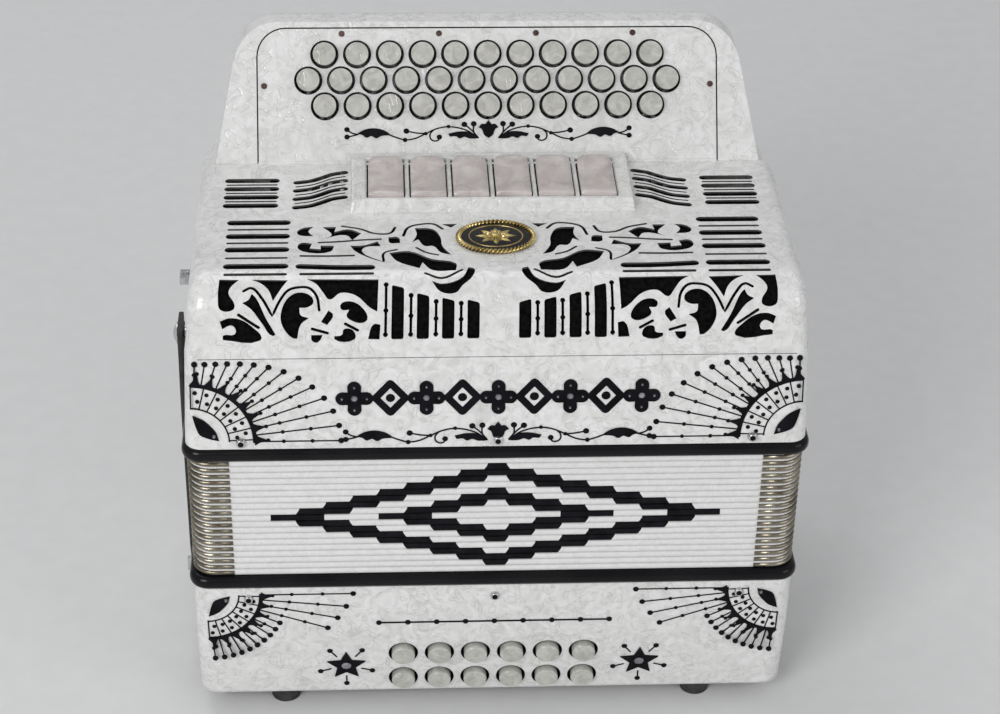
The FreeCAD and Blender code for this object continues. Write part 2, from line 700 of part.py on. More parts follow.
def grille_slots():
    """Openings of the grille: long slots on the flat top and tall windows around the front corner."""
    slots = []
    for side, label in ((-1, "left"), (1, "right")):
        for column, (near, far) in enumerate(((72, 102), (108, 140))):
            ends = sorted((side * near, side * far))
            for row, y in enumerate((-68, -54, -40, -26, -7, 2, 11, 20)):
                slots.append(box(f"slot_{label}_{column}_{row}", ends, (y, y + 4),
                                 (f"{FLAT_TOP} - 20", f"{FLAT_TOP} + 20")))
        for window in range(4):
            x = side * (18 + 13 * window)
            slots.append(box(f"window_{label}_{window}", (x - 3, x + 3), (f"-{HALF_DEPTH} - 12", "-76"),
                             (f"{SEAM} + 10", f"{FLAT_TOP} - 8")))
    return group("grille_slots", slots)


def grille_cover():
    ridge_x = "sizes.ridge_width / 2"
    ridge_top = f"({FLAT_TOP} + sizes.ridge_rise)"
    skin = "sizes.cover_thickness"
    ridge = box("ridge", (f"-{ridge_x}", ridge_x), ("sizes.ridge_front_y", "sizes.board_base_y"),
                (f"{FLAT_TOP} - 8", ridge_top))
    outside = fuse("cover_outside", [cover_core("cover_outer", 0), ridge])
    ridge_hollow = box("ridge_hollow", (f"-{ridge_x} + {skin}", f"{ridge_x} - {skin}"),
                       (f"sizes.ridge_front_y + {skin}", "sizes.board_base_y + 1"),
                       (f"{FLAT_TOP} - 9", f"{ridge_top} - {skin}"))
    under = box("cover_underside", ("-152", "152"), ("-80", "60"), (f"{SEAM} - 10", f"{SEAM} + 1"))
    hollow = cover_core("cover_inner", size("cover_thickness"))
    inside = fuse("cover_inside", [hollow, ridge_hollow, under])
    shell = cut("cover_shell", outside, inside)
    window_x = f"({TAB_REACH} + 3.2)"
    window = box("register_window", (f"-{window_x}", window_x),
                 ("sizes.ridge_front_y + 2.5", "sizes.ridge_front_y + sizes.tab_length + 4.5"),
                 (f"{FLAT_TOP} - 10", f"{FLAT_TOP} + 30"))
    openings = group("cover_openings", [grille_slots(), window])
    keep("grille_cover", cut("grille_cover", shell, openings))


def grille_cloth():
    """The cloth behind the openings, on the inner face of the cover."""
    thickness = size("cover_thickness")
    outer = cover_core("cloth_outer", thickness + 0.1)
    sheet = cut("cloth_sheet", outer, cover_core("cloth_inner", thickness + 1))
    reach = box("cloth_reach", ("-145", "145"), (f"-{HALF_DEPTH} - 10", "sizes.ridge_front_y - 4"),
                (f"{SEAM} + 5", f"{FLAT_TOP} + 30"))
    keep("grille_cloth", common("grille_cloth", sheet, reach))


def medallion():
    """An oval badge with a raised rim, lying on the flat top."""
    wide = "sizes.medallion_width / 2"
    long = "sizes.medallion_length / 2"
    rim_width = 3.2
    blank = oval("badge_blank", wide, long, FLAT_TOP, 3.4, "sizes.medallion_y")
    dish = oval("badge_dish", f"{wide} - {rim_width}", f"{long} - {rim_width}", f"{FLAT_TOP} + 2", 5,
                "sizes.medallion_y")
    keep("medallion", cut("medallion", blank, dish))


TAB_REACH = "(2.5 * sizes.tab_pitch + sizes.tab_width / 2)"
TAB_AXLE_Z = f"({FLAT_TOP} + sizes.ridge_rise - 1.5)"
TAB_AXLE_Y = "(sizes.ridge_front_y + sizes.tab_length + 1)"
TAB_FRONT_Y = "(sizes.ridge_front_y + 3.5)"


def register_rail():
    """The tray under the register tabs, with the rod that they rock on."""
    reach = f"({TAB_REACH} + 3)"
    floor = box("rail_floor", (f"-{reach}", reach), (TAB_FRONT_Y, f"{TAB_AXLE_Y} + 3"),
                (f"{FLAT_TOP} - 8", f"{FLAT_TOP} - 5"))
    cheeks = [
        box(f"rail_cheek_{index}", (low, f"{low} + 2"), (f"{TAB_AXLE_Y} - 4", f"{TAB_AXLE_Y} + 3"),
            (f"{FLAT_TOP} - 6", f"{TAB_AXLE_Z} + 1"))
        for index, low in enumerate((f"-{reach}", f"{reach} - 2"))
    ]
    axle = rod("tab_axle", 1, f"2 * {reach} - 1", f"-{reach} + 0.5", TAB_AXLE_Y, TAB_AXLE_Z, ALONG_X)
    keep("register_rail", fuse("register_rail", [floor, *cheeks, axle]))


def register_tabs():
    """Tabs in a row, each a leaf with a hub that turns on the axle at its rear end."""
    half = "sizes.tab_width / 2"
    for index in range(REGISTER_TABS):
        node = f"register_tab_{index + 1}"
        x = f"(({index} - 2.5) * sizes.tab_pitch)"
        leaf = box(f"tab_leaf_{index}", (f"{x} - {half}", f"{x} + {half}"),
                   (TAB_FRONT_Y, f"{TAB_AXLE_Y} + 2"), (f"{TAB_AXLE_Z} - 1.2", f"{TAB_AXLE_Z} + 3.4"))
        hub = rod(f"tab_hub_{index}", 2.2, "sizes.tab_width", f"{x} - {half}",
                  TAB_AXLE_Y, TAB_AXLE_Z, ALONG_X)
        bore = rod(f"tab_bore_{index}", 1 + RUNNING_FIT, "sizes.tab_width + 2", f"{x} - {half} - 1",
                   TAB_AXLE_Y, TAB_AXLE_Z, ALONG_X)
        keep(node, cut(node, fuse(f"tab_{index}", [leaf, hub]), bore))


def neck_outline():
    """Front view of the neck from its shoulders up: a short waist, then a steady taper."""
    base_z = "sizes.shoulder_height"
    shoulder = (f"{HALF_WIDTH} - sizes.side_taper", base_z)
    waist = [
        ("sizes.neck_base_width / 2 + 2.6", f"{base_z} + 10"),
        ("sizes.neck_base_width / 2 - 1", f"{base_z} + 22"),
    ]
    top = ("sizes.neck_top_width / 2 - 2", BOARD_TOP_Z)
    return symmetric([shoulder, *waist, top])


def neck_blank():
    """The neck's front view padded right through, with rounded top corners."""
    blank = slab("neck_front", "XZ_Plane", neck_outline(), "2 * sizes.case_depth")
    document.recompute()
    top = value(BOARD_TOP_Z)
    corners = [
        f"Edge{number}"
        for number, edge in enumerate(blank.Shape.Edges, start=1)
        if edge.BoundBox.YLength > 50 and abs(edge.CenterOfMass.z - top) < 0.5
    ]
    pad = blank.Tip
    rounding = blank.newObject("PartDesign::Fillet", "neck_front_rounding")
    rounding.Base = (pad, corners)
    rounding.setExpression("Radius", "sizes.neck_corner")
    blank.Tip = rounding
    return blank


def plate_blank(name, play, depth):
    """The fingerboard plate made flat, larger all round by a play, with its face at Z = 0."""
    body = document.addObject("PartDesign::Body", f"{name}_body")
    corners = symmetric([
        (f"sizes.plate_width / 2 + {play}", "1"),
        (f"sizes.plate_width / 2 + {play}", f"sizes.plate_length + {play}"),
    ])
    pad = body.newObject("PartDesign::Pad", f"{name}_pad")
    pad.Profile = outline(body, f"{name}_outline", "XY_Plane", corners)
    pad.setExpression("Length", depth)
    pad.Reversed = True
    body.Tip = pad
    document.recompute()
    upper = [
        f"Edge{number}"
        for number, edge in enumerate(pad.Shape.Edges, start=1)
        if edge.BoundBox.ZLength > 1 and edge.CenterOfMass.y > size("plate_length") - 1
    ]
    rounding = body.newObject("PartDesign::Fillet", f"{name}_rounding")
    rounding.Base = (pad, upper)
    rounding.setExpression("Radius", "sizes.plate_corner")
    body.Tip = rounding
    return body


PLATE_REST = 6          # width of the rim that carries the plate


def fingerboard_body():
    """The hollow neck behind the fingerboard, with a rim that the plate lies in."""
    wedge = slab("neck_wedge", "YZ_Plane", [
        ("sizes.board_base_y", "sizes.shoulder_height"),
        (HALF_DEPTH, "sizes.shoulder_height"),
        (HALF_DEPTH, BOARD_TOP_Z),
        (BOARD_TOP_Y, BOARD_TOP_Z),
        ("sizes.board_base_y", FLAT_TOP),
    ], "sizes.case_width + 20")
    solid = common("neck_solid", neck_blank(), wedge)
    back = value(HALF_DEPTH) - 1

    def radius_of(edge):
        at_back = edge.BoundBox.YMin > back and edge.BoundBox.ZLength > 1
        return size("corner_radius") - 2 if at_back else None

    neck = rounded("neck_rounded", solid, radius_of)
    half_core = f"sizes.plate_width / 2 - {PLATE_REST}"
    core = box("neck_core", (f"-({half_core})", half_core), ("0", f"{HALF_DEPTH} - 6"),
               ("sizes.shoulder_height - 1", f"{BOARD_TOP_Z} - 7"))
    bed = on_board(plate_blank("plate_bed", RUNNING_FIT, "sizes.board_thickness + 0.05"))
    keep("fingerboard_body", cut("fingerboard_body", neck, group("neck_hollows", [core, bed])))


def on_board(thing):
    """Turn a thing made flat, with +Y up the slope and +Z out of the board, into its place."""
    thing.Placement = Placement(Vector(), Rotation(Vector(1, 0, 0), 90 - size("board_tilt")))
    thing.setExpression("Placement.Rotation.Angle", "90 - sizes.board_tilt")
    place(thing, "0", "sizes.board_base_y", FLAT_TOP)
    return thing


def fingerboard_plate():
    """The plate that the treble buttons come through, made flat and then tilted."""
    body = plate_blank("board", 0, "sizes.board_thickness")
    holes = [
        rod(f"key_hole_{column}_{row}", "sizes.key_bore / 2", 20, x, slope, "-10")
        for column, row, x, slope in key_places()
    ]
    holes += [
        rod(f"board_screw_hole_{index}", BOARD_SCREW_SHANK + 0.02, 20, x, y, "-10")
        for index, (x, y) in enumerate(BOARD_SCREWS)
    ]
    keep("fingerboard_plate", on_board(cut("fingerboard_plate", body, group("key_holes", holes))))


BOARD_SCREWS = (
    ("-78.6", "sizes.plate_length - 3"),
    ("-26.2", "sizes.plate_length - 3"),
    ("26.2", "sizes.plate_length - 3"),
    ("78.6", "sizes.plate_length - 3"),
    ("-sizes.plate_width / 2 + 3.5", "sizes.key_first_row + 11"),
    ("sizes.plate_width / 2 - 3.5", "sizes.key_first_row + 11"),
)
BOARD_SCREW_SHANK = 1
BOARD_SCREW_HEAD = 1.6


def fingerboard_screws():
    screws = []
    for index, (x, y) in enumerate(BOARD_SCREWS):
        shank = rod(f"board_screw_shank_{index}", BOARD_SCREW_SHANK, "sizes.board_thickness", x, y,
                    "-sizes.board_thickness")
        head = rod(f"board_screw_head_{index}", BOARD_SCREW_HEAD, 0.7, x, y, "0")
        screws.append(fuse(f"board_screw_{index}", [shank, head]))
    keep("fingerboard_screws", on_board(group("fingerboard_screws", screws)))


def slope_point(along, out):
    """Formulas of Y and Z for a place along the slope and out of the board's face."""
    y = f"(sizes.board_base_y + ({along}) * sin(sizes.board_tilt) - ({out}) * cos(sizes.board_tilt))"
    z = f"({FLAT_TOP} + ({along}) * cos(sizes.board_tilt) + ({out}) * sin(sizes.board_tilt))"
    return y, z


AXLE_Y, AXLE_Z = slope_point("0", "-sizes.key_axle_depth")


def key_axle():
    """The rod that all treble keys turn on, held by a block at each end of the neck."""
    wall = size("plate_width") / 2 - PLATE_REST
    reach = wall - 4
    shaft = rod("axle_rod", "sizes.key_axle_diameter / 2", 2 * reach, -reach, AXLE_Y, AXLE_Z, ALONG_X)
    blocks = [
        box(f"axle_block_{index}", sorted((side * (wall - 8), side * wall)),
            (f"{AXLE_Y} - 4", f"{AXLE_Y} + 8"), (f"{AXLE_Z} - 5", f"{AXLE_Z} + 5"))
        for index, side in enumerate((-1, 1))
    ]
    keep("key_axle", fuse("key_axle", [shaft, *blocks]))


def treble_key(column, row, x, slope):
    """One key: button, stem, two-armed lever on the axle and the pallet that it lifts."""
    label = f"key_{column}_{row}"
    side = {0: "-2.2", 1: "0", 2: "2.2"}[row]
    depth = "-sizes.key_axle_depth"
    pallet_y = PALLET_ROWS[row]
    lever = slab(f"{label}_lever", "YZ_Plane", [
        slope_point(f"{slope} + 2.5", f"{depth} + 2"),
        slope_point("3", f"{depth} + 3.6"),
        slope_point("-4", f"{depth} + 3"),
        ("38", "250.5"),
        (f"{pallet_y} - 2", "250.5"),
        (f"{pallet_y} - 2", f"{SOUNDBOARD_TOP} + 4"),
        (f"{pallet_y} + 2", f"{SOUNDBOARD_TOP} + 4"),
        (f"{pallet_y} + 2", "247"),
        ("42", "247"),
        slope_point("-7", f"{depth} - 3"),
        slope_point("1", f"{depth} - 4"),
        slope_point(f"{slope} + 2.5", f"{depth} - 1.5"),
    ], "2.4")
    place(lever, f"{x} + {side}", "0", "0")
    post = on_board_rod(f"{label}_post", 2.8, f"{depth} + 1", "-2", x, slope)
    cap = on_board_rod(f"{label}_cap", "sizes.key_diameter / 2", "-2.5", "sizes.key_proud", x, slope)
    pallet = box(f"{label}_pallet", (f"{x} - 6.5", f"{x} + 6.5"), (f"{pallet_y} - 11", f"{pallet_y} + 11"),
                 (f"{SOUNDBOARD_TOP} + {REST_GAP}", f"{SOUNDBOARD_TOP} + 5"))
    bore = rod(f"{label}_bore", f"sizes.key_axle_diameter / 2 + {RUNNING_FIT}", 10, f"{x} - 5",
               AXLE_Y, AXLE_Z, ALONG_X)
    return cut(label, fuse(f"{label}_solid", [lever, post, cap, pallet]), bore)


def on_board_rod(name, radius, low, high, x, slope):
    """A cylinder square to the board, from low to high out of its face."""
    y, z = slope_point(slope, low)
    return rod(name, radius, f"({high}) - ({low})", x, y, z, (Vector(1, 0, 0), "90 - sizes.board_tilt"))


def treble_keys():
    """The keys of one column share a node, so that the whole set stays within the node limit."""
    columns = {}
    for column, row, x, slope in key_places():
        columns.setdefault(column, []).append(treble_key(column, row, x, slope))
    for column, keys in columns.items():
        node = f"treble_keys_{column + 1:02d}"
        keep(node, group(node, keys))


def on_treble_sides(node, things):
    """Keep a pair of fittings after trimming off whatever lies inside the tapered treble case."""
    sides = symmetric([
        (HALF_WIDTH, TREBLE_BOTTOM),
        (f"{HALF_WIDTH} - sizes.side_taper", "sizes.shoulder_height"),
    ])
    walls = slab(f"{node}_walls", "XZ_Plane", sides, "sizes.case_depth + 20")
    keep(node, cut(node, group(f"{node}_pair", things), walls))


def shoulder_strap_lugs():
    """An eye on each side of the treble case for the shoulder straps."""
    lugs = []
    for side, label in ((-1, "left"), (1, "right")):
        base_x = sorted((side * (CASE_SIDE - 2), side * (CASE_SIDE + 1.6)))
        base = box(f"lug_base_{label}", base_x, ("20", "40"), ("196", "216"))
        tongue_x = sorted((side * (CASE_SIDE + 1), side * (PIN_X + 3.4)))
        tongue = box(f"lug_tongue_{label}", tongue_x, ("25", "35"), ("204", "208"))
        eye = rod(f"lug_eye_{label}", 2, 10, side * PIN_X, "30", "201")
        lugs.append(cut(f"lug_{label}", fuse(f"lug_solid_{label}", [base, tongue]), eye))
    on_treble_sides("shoulder_strap_lugs", lugs)


def bellows_strap_studs():
    """Studs on the treble case that the snaps of the bellows straps press on to."""
    studs = []
    for side, label in ((-1, "left"), (1, "right")):
        spot = ("sizes.strap_y", "sizes.strap_snap_z", ALONG_X)
        base_x = min(side * (CASE_SIDE - 2), side * (CASE_SIDE + 1.5))
        base = rod(f"stud_base_{label}", 6.5, 3.5, base_x, *spot)
        pin_x = min(side * (CASE_SIDE + 1), side * (STRAP_INNER - 0.3))
        pin = rod(f"stud_pin_{label}", 3, STRAP_INNER - CASE_SIDE - 1.3, pin_x, *spot)
        studs.append(fuse(f"stud_{label}", [base, pin]))
    on_treble_sides("bellows_strap_studs", studs)


bass_case()
bass_end_plate()
feet()
hand_strap()
strap_anchors()
bellows_straps()
bass_soundboard()
bass_reed_blocks()
bellows_frame("bellows_frame_bass", BASS_TOP, (f"{BASS_TOP} - 10", f"{BASS_TOP} + 1"), BASS_SCREW_Z)
keep("bellows_screws_bass", case_screws("bellows_screws_bass", BASS_SCREW_Z, HALF_DEPTH, HALF_DEPTH))
bass_button_guide()
bass_buttons()
air_button()
bellows()
bellows_frame("bellows_frame_treble", BELLOWS_TOP, (f"{TREBLE_BOTTOM} - 1", f"{TREBLE_BOTTOM} + 10"),
              TREBLE_SCREW_Z)
keep("bellows_screws_treble",
     case_screws("bellows_screws_treble", TREBLE_SCREW_Z, TREBLE_SCREW_Y, HALF_DEPTH))
treble_case()
treble_soundboard()
treble_reed_blocks()
grille_cover()
grille_cloth()
medallion()
register_rail()
register_tabs()
fingerboard_body()
fingerboard_plate()
fingerboard_screws()
key_axle()
treble_keys()
shoulder_strap_lugs()
bellows_strap_studs()
document.recompute()

failed = [thing.Name for thing in document.Objects if "Invalid" in thing.State or "Error" in thing.State]
if failed:
    raise RuntimeError(f"failed objects: {failed}")
for node, thing in SUB_PARTS:
    if thing.Shape.isNull() or not thing.Shape.isValid() or not thing.Shape.Solids:
        raise RuntimeError(f"{node} has no valid solid")

os.makedirs("parts", exist_ok=True)
for node, thing in SUB_PARTS:
    thing.Shape.exportStep(f"parts/{node}.step")
print(len(SUB_PARTS), "sub-parts written")
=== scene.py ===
"""Looks of a three-row button accordion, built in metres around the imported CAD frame."""

import json
from math import asin, atan2, cos, degrees, hypot, pi, radians, sin, tau

import bmesh
import bpy
from mathutils import Matrix, Vector
from mathutils.geometry import delaunay_2d_cdt

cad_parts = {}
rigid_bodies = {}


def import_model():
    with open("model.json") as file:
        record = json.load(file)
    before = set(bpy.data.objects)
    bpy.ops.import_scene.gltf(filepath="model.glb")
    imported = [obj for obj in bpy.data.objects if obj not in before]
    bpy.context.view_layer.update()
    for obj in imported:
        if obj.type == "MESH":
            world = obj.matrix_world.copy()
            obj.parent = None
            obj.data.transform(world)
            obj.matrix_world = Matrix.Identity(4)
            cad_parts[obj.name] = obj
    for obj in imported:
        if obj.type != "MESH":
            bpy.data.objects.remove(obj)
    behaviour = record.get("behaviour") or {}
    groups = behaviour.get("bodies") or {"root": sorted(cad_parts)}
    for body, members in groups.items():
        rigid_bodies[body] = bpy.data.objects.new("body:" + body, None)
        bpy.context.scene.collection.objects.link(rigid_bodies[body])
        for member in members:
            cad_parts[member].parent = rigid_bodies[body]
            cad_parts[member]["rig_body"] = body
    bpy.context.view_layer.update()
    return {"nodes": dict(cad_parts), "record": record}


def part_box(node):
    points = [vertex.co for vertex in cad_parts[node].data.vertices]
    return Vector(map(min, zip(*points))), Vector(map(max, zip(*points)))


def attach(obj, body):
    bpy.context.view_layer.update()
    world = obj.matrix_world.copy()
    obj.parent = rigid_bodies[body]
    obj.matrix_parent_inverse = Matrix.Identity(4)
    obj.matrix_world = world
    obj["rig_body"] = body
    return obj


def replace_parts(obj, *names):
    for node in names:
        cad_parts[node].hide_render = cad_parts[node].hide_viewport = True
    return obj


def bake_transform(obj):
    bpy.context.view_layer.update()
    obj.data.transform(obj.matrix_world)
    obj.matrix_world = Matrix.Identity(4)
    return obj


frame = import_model()

MM = 0.001
RECORD = frame["record"]


# ---------------------------------------------------------------- sizes from the frame

def low(node):
    """Lowest corner of a CAD node."""
    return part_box(node)[0]


def high(node):
    """Highest corner of a CAD node."""
    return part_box(node)[1]


BASS_TOP = high("bass_case").z
WALL_FRONT = low("bass_case").y
BELLOWS_LOW = low("bellows_folds").z
BELLOWS_HIGH = high("bellows_folds").z
TREBLE_BOTTOM = low("treble_case").z
SEAM = low("grille_cover").z
HALF_WIDTH = high("grille_cover").x
COVER_FRONT = low("grille_cover").y
COVER_BACK = high("grille_cover").y
RIDGE_TOP = high("grille_cover").z
FLAT_TOP = low("medallion").z
KINK = high("bass_button_guide").z
BASS_LEAN = radians(9)
BOARD_TILT = radians(32)
FOLDS = 19


# ---------------------------------------------------------------- materials

def fresh(name):
    """A new material with its node tree and its shader."""
    made = bpy.data.materials.new(name)
    made.use_nodes = True
    return made, made.node_tree, made.node_tree.nodes["Principled BSDF"]


def add(tree, kind, settings=None, **properties):
    """Adds a node, sets its properties and the inputs named in settings."""
    made = tree.nodes.new(kind)
    for name, setting in properties.items():
        setattr(made, name, setting)
    for name, setting in (settings or {}).items():
        made.inputs[name].default_value = setting
    return made


def noise(tree, scale, detail=3.0, distortion=0.0, stretch=None):
    """Noise over the object's own metres, scale features to the metre."""
    place = add(tree, "ShaderNodeTexCoord").outputs["Object"]
    if stretch:
        mapping = add(tree, "ShaderNodeMapping", {"Scale": stretch})
        tree.links.new(place, mapping.inputs["Vector"])
        place = mapping.outputs["Vector"]
    made = add(tree, "ShaderNodeTexNoise", {"Scale": scale, "Detail": detail, "Distortion": distortion})
    tree.links.new(place, made.inputs["Vector"])
    return made.outputs["Fac"]


def ramp(tree, source, stops):
    """Colours along a source; stops are (place, colour) pairs."""
    made = add(tree, "ShaderNodeValToRGB")
    points = made.color_ramp.elements
    while len(points) < len(stops):
        points.new(0.5)
    for point, (place, colour) in zip(points, stops):
        point.position = place
        point.color = (*colour, 1)
    tree.links.new(source, made.inputs["Fac"])
    return made.outputs["Color"]


def spread(tree, source, least, most, target):
    """Sends a source to a shader input, stretched from its useful middle to the given range."""
    limits = {"From Min": 0.3, "From Max": 0.7, "To Min": least, "To Max": most}
    made = add(tree, "ShaderNodeMapRange", limits)
    tree.links.new(source, made.inputs["Value"])
    tree.links.new(made.outputs["Result"], target)


def relief(tree, shader, source, depth, socket="Normal"):
    """Bumps the surface, or its clear coat, by a source, depth in metres."""
    made = add(tree, "ShaderNodeBump", {"Distance": depth})
    tree.links.new(source, made.inputs["Height"])
    tree.links.new(made.outputs["Normal"], shader.inputs[socket])


SOCKETS = {"metallic": "Metallic", "coat_weight": "Coat Weight", "specular_ior_level": "Specular IOR Level"}


def finish(name, dark, light, roughness, grain=300, depth=0.00003, stretch=None, **settings):
    """A finish that drifts between two colours, with its own fine grain."""
    made, tree, shader = fresh(name)
    drift = noise(tree, grain / 6, 4, stretch=stretch)
    tree.links.new(ramp(tree, drift, [(0.35, dark), (0.65, light)]), shader.inputs["Base Color"])
    spread(tree, noise(tree, grain / 2, 3, stretch=stretch), *roughness, shader.inputs["Roughness"])
    relief(tree, shader, noise(tree, grain, 3, stretch=stretch), depth)
    for socket, setting in settings.items():
        shader.inputs[SOCKETS.get(socket, socket)].default_value = setting
    return made


def contours(tree, scale, lines, distortion=0.8):
    """Curving lines of even height in a noise field, like a thumbprint: 0 on a line, 1 between lines."""
    field = noise(tree, scale, 1.5, distortion)
    many = add(tree, "ShaderNodeMath", {1: lines}, operation="MULTIPLY")
    tree.links.new(field, many.inputs[0])
    folded = add(tree, "ShaderNodeMath", {1: 1.0}, operation="PINGPONG")
    tree.links.new(many.outputs[0], folded.inputs[0])
    limits = {"From Min": 0.0, "From Max": 0.22}
    edge = add(tree, "ShaderNodeMapRange", limits, interpolation_type="SMOOTHSTEP")
    tree.links.new(folded.outputs[0], edge.inputs["Value"])
    return edge.outputs["Result"]


def mixed(tree, share, first, second, blend_type="MIX"):
    """Mixes two colours by a share."""
    made = add(tree, "ShaderNodeMix", data_type="RGBA", blend_type=blend_type)
    for source, socket in ((share, made.inputs[0]), (first, made.inputs[6]), (second, made.inputs[7])):
        if hasattr(source, "links"):
            tree.links.new(source, socket)
        else:
            socket.default_value = source
    return made.outputs[2]


def celluloid(name, dark, middle, light, scale, depth=0.00005, lined=0.06, wrinkles=60):
    """Polished pearl celluloid: soft clouds and short curved wrinkles under a clear coat."""
    made, tree, shader = fresh(name)
    clouds = noise(tree, scale, 5, 1.6)
    colour = ramp(tree, clouds, [(0.3, dark), (0.5, middle), (0.68, light)])
    lines = contours(tree, wrinkles, 5, 1.8)
    shade = ramp(tree, lines, [(0.0, (1 - lined,) * 3), (1.0, (1.0,) * 3)])
    tree.links.new(mixed(tree, 1.0, colour, shade, "MULTIPLY"), shader.inputs["Base Color"])
    spread(tree, noise(tree, scale * 2, 4, 0.8), 0.14, 0.3, shader.inputs["Roughness"])
    relief(tree, shader, lines, depth)
    relief(tree, shader, lines, depth * 2, "Coat Normal")
    shader.inputs["Coat Weight"].default_value = 0.6
    shader.inputs["Coat Roughness"].default_value = 0.06
    return made


PEARL = celluloid("pearl", (0.64, 0.64, 0.625), (0.73, 0.73, 0.715), (0.80, 0.80, 0.79), 120,
                  0.00014, 0.10, 105)
BUTTON_PEARL = celluloid("button_pearl", (0.40, 0.395, 0.36), (0.49, 0.485, 0.445),
                         (0.59, 0.585, 0.545), 130)
TAB_PEARL = celluloid("tab_pearl", (0.45, 0.40, 0.39), (0.54, 0.49, 0.475), (0.62, 0.57, 0.55), 60,
                      0.00002, 0.03)
CARD = celluloid("bellows_white", (0.70, 0.70, 0.685), (0.74, 0.74, 0.73), (0.78, 0.78, 0.77), 200,
                 0.00002, 0.02)
BLACK = finish("black_celluloid", (0.003, 0.003, 0.004), (0.007, 0.007, 0.008), (0.12, 0.24), 200,
               specular_ior_level=0.2)
INK = finish("black_inlay", (0.003, 0.0025, 0.004), (0.008, 0.007, 0.010), (0.4, 0.55), 600,
             specular_ior_level=0.08)
# Dark grey for the cut edges round the grille holes: painted shade, so each hole reads black out to its
# rim.
HOLE_EDGE_SHADE = finish("hole_edge_painted_shade", (0.05, 0.05, 0.05), (0.10, 0.10, 0.10), (0.5, 0.7), 900)
SCREW_BROWN = finish("screw_brown", (0.05, 0.025, 0.02), (0.12, 0.07, 0.06), (0.3, 0.5), 900, metallic=0.6)
BELLOWS_BLACK = finish("bellows_black", (0.004, 0.0035, 0.005), (0.010, 0.009, 0.012), (0.45, 0.6), 800,
                       specular_ior_level=0.08)
VALLEY = finish("bellows_valley", (0.44, 0.44, 0.43), (0.54, 0.54, 0.53), (0.6, 0.8), 900)
CHROME = finish("chrome", (0.55, 0.55, 0.56), (0.72, 0.72, 0.73), (0.12, 0.28), 500, metallic=1)
NICKEL = finish("old_nickel", (0.17, 0.145, 0.105), (0.38, 0.345, 0.28), (0.2, 0.36), 420, 0.00008,
                metallic=1)
STEEL = finish("steel", (0.36, 0.37, 0.38), (0.5, 0.51, 0.52), (0.25, 0.4), 500, metallic=1)
BRASS = finish("gilt", (0.34, 0.26, 0.10), (0.60, 0.48, 0.22), (0.24, 0.42), 700, metallic=1)
ENAMEL = finish("enamel", (0.003, 0.003, 0.004), (0.008, 0.008, 0.010), (0.1, 0.2), 500,
                specular_ior_level=0.3)
RUBBER = finish("rubber", (0.015, 0.015, 0.015), (0.04, 0.04, 0.04), (0.6, 0.8), 1200, 0.00006)
LEATHER = finish("leather", (0.012, 0.011, 0.010), (0.03, 0.027, 0.025), (0.38, 0.6), 1500, 0.00025)
THREAD = finish("thread", (0.05, 0.05, 0.05), (0.12, 0.12, 0.11), (0.7, 0.9), 4000)
CLOTH = finish("cloth", (0.002, 0.002, 0.002), (0.007, 0.007, 0.007), (0.8, 0.95), 2500, 0.00015,
               specular_ior_level=0.03)
WOOD = finish("wood", (0.30, 0.18, 0.09), (0.46, 0.30, 0.16), (0.45, 0.65), 700, stretch=(0.12, 1, 1))
LACQUER = finish("end_plate", (0.015, 0.015, 0.015), (0.035, 0.035, 0.035), (0.35, 0.5), 600)
STONE = finish("stone", (0.20, 0.21, 0.23), (0.42, 0.43, 0.46), (0.04, 0.12), 900, metallic=0.8)

SLOT_FINISH = {
    "pearl_case": PEARL,
    "black_trim": BLACK,
    "end_plate": LACQUER,
    "rubber": RUBBER,
    "leather": LEATHER,
    "chrome": CHROME,
    "wood": WOOD,
    "guide": LACQUER,
    "pearl_button": BUTTON_PEARL,
    "pearl_tab": TAB_PEARL,
    "bellows_card": CARD,
    "corner_metal": NICKEL,
    "cloth": CLOTH,
    "badge": BRASS,
    "steel": STEEL,
    "key_metal": STEEL,
}


# ---------------------------------------------------------------- meshes

def piece(name, mesh, finishes, body, sharp=35):
    """Turns a bmesh into an object that rides on a CAD body."""
    bmesh.ops.recalc_face_normals(mesh, faces=mesh.faces)
    data = bpy.data.meshes.new(name)
    mesh.to_mesh(data)
    mesh.free()
    made = bpy.data.objects.new(name, data)
    bpy.context.scene.collection.objects.link(made)
    for material in finishes if isinstance(finishes, (list, tuple)) else [finishes]:
        data.materials.append(material)
    data.shade_smooth()
    data.set_sharp_from_angle(angle=radians(sharp))
    if body:
        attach(made, body)
    return made


def bevel(made, width, segments=3, angle=35):
    """Rounds the sharp edges of a piece."""
    modifier = made.modifiers.new("rounding", "BEVEL")
    modifier.width = width
    modifier.segments = segments
    modifier.limit_method = "ANGLE"
    modifier.angle_limit = radians(angle)
    modifier.harden_normals = True
    return made


def settle(made, sharp=35):
    """Applies a piece's modifiers to its mesh and marks its sharp edges."""
    bpy.context.view_layer.update()
    evaluated = made.evaluated_get(bpy.context.evaluated_depsgraph_get())
    data = bpy.data.meshes.new_from_object(evaluated)
    made.modifiers.clear()
    made.data = data
    data.shade_smooth()
    data.set_sharp_from_angle(angle=radians(sharp))


def eased(points, radius=0.8, steps=3):
    """A closed outline with its corners rounded."""
    spots = [Vector(point) for point in points]
    line = []
    for index, spot in enumerate(spots):
        back = spots[index - 1] - spot
        ahead = spots[(index + 1) % len(spots)] - spot
        start = spot + back.normalized() * min(radius, back.length * 0.45)
        end = spot + ahead.normalized() * min(radius, ahead.length * 0.45)
        for step in range(steps + 1):
            t = step / steps
            line.append(start * (1 - t) ** 2 + spot * 2 * t * (1 - t) + end * t**2)
    return line


def slot_of(node):
    """The record's material slot of a CAD node."""
    return next(part["material_slot"] for part in RECORD["subparts"] if part["node"] == node)


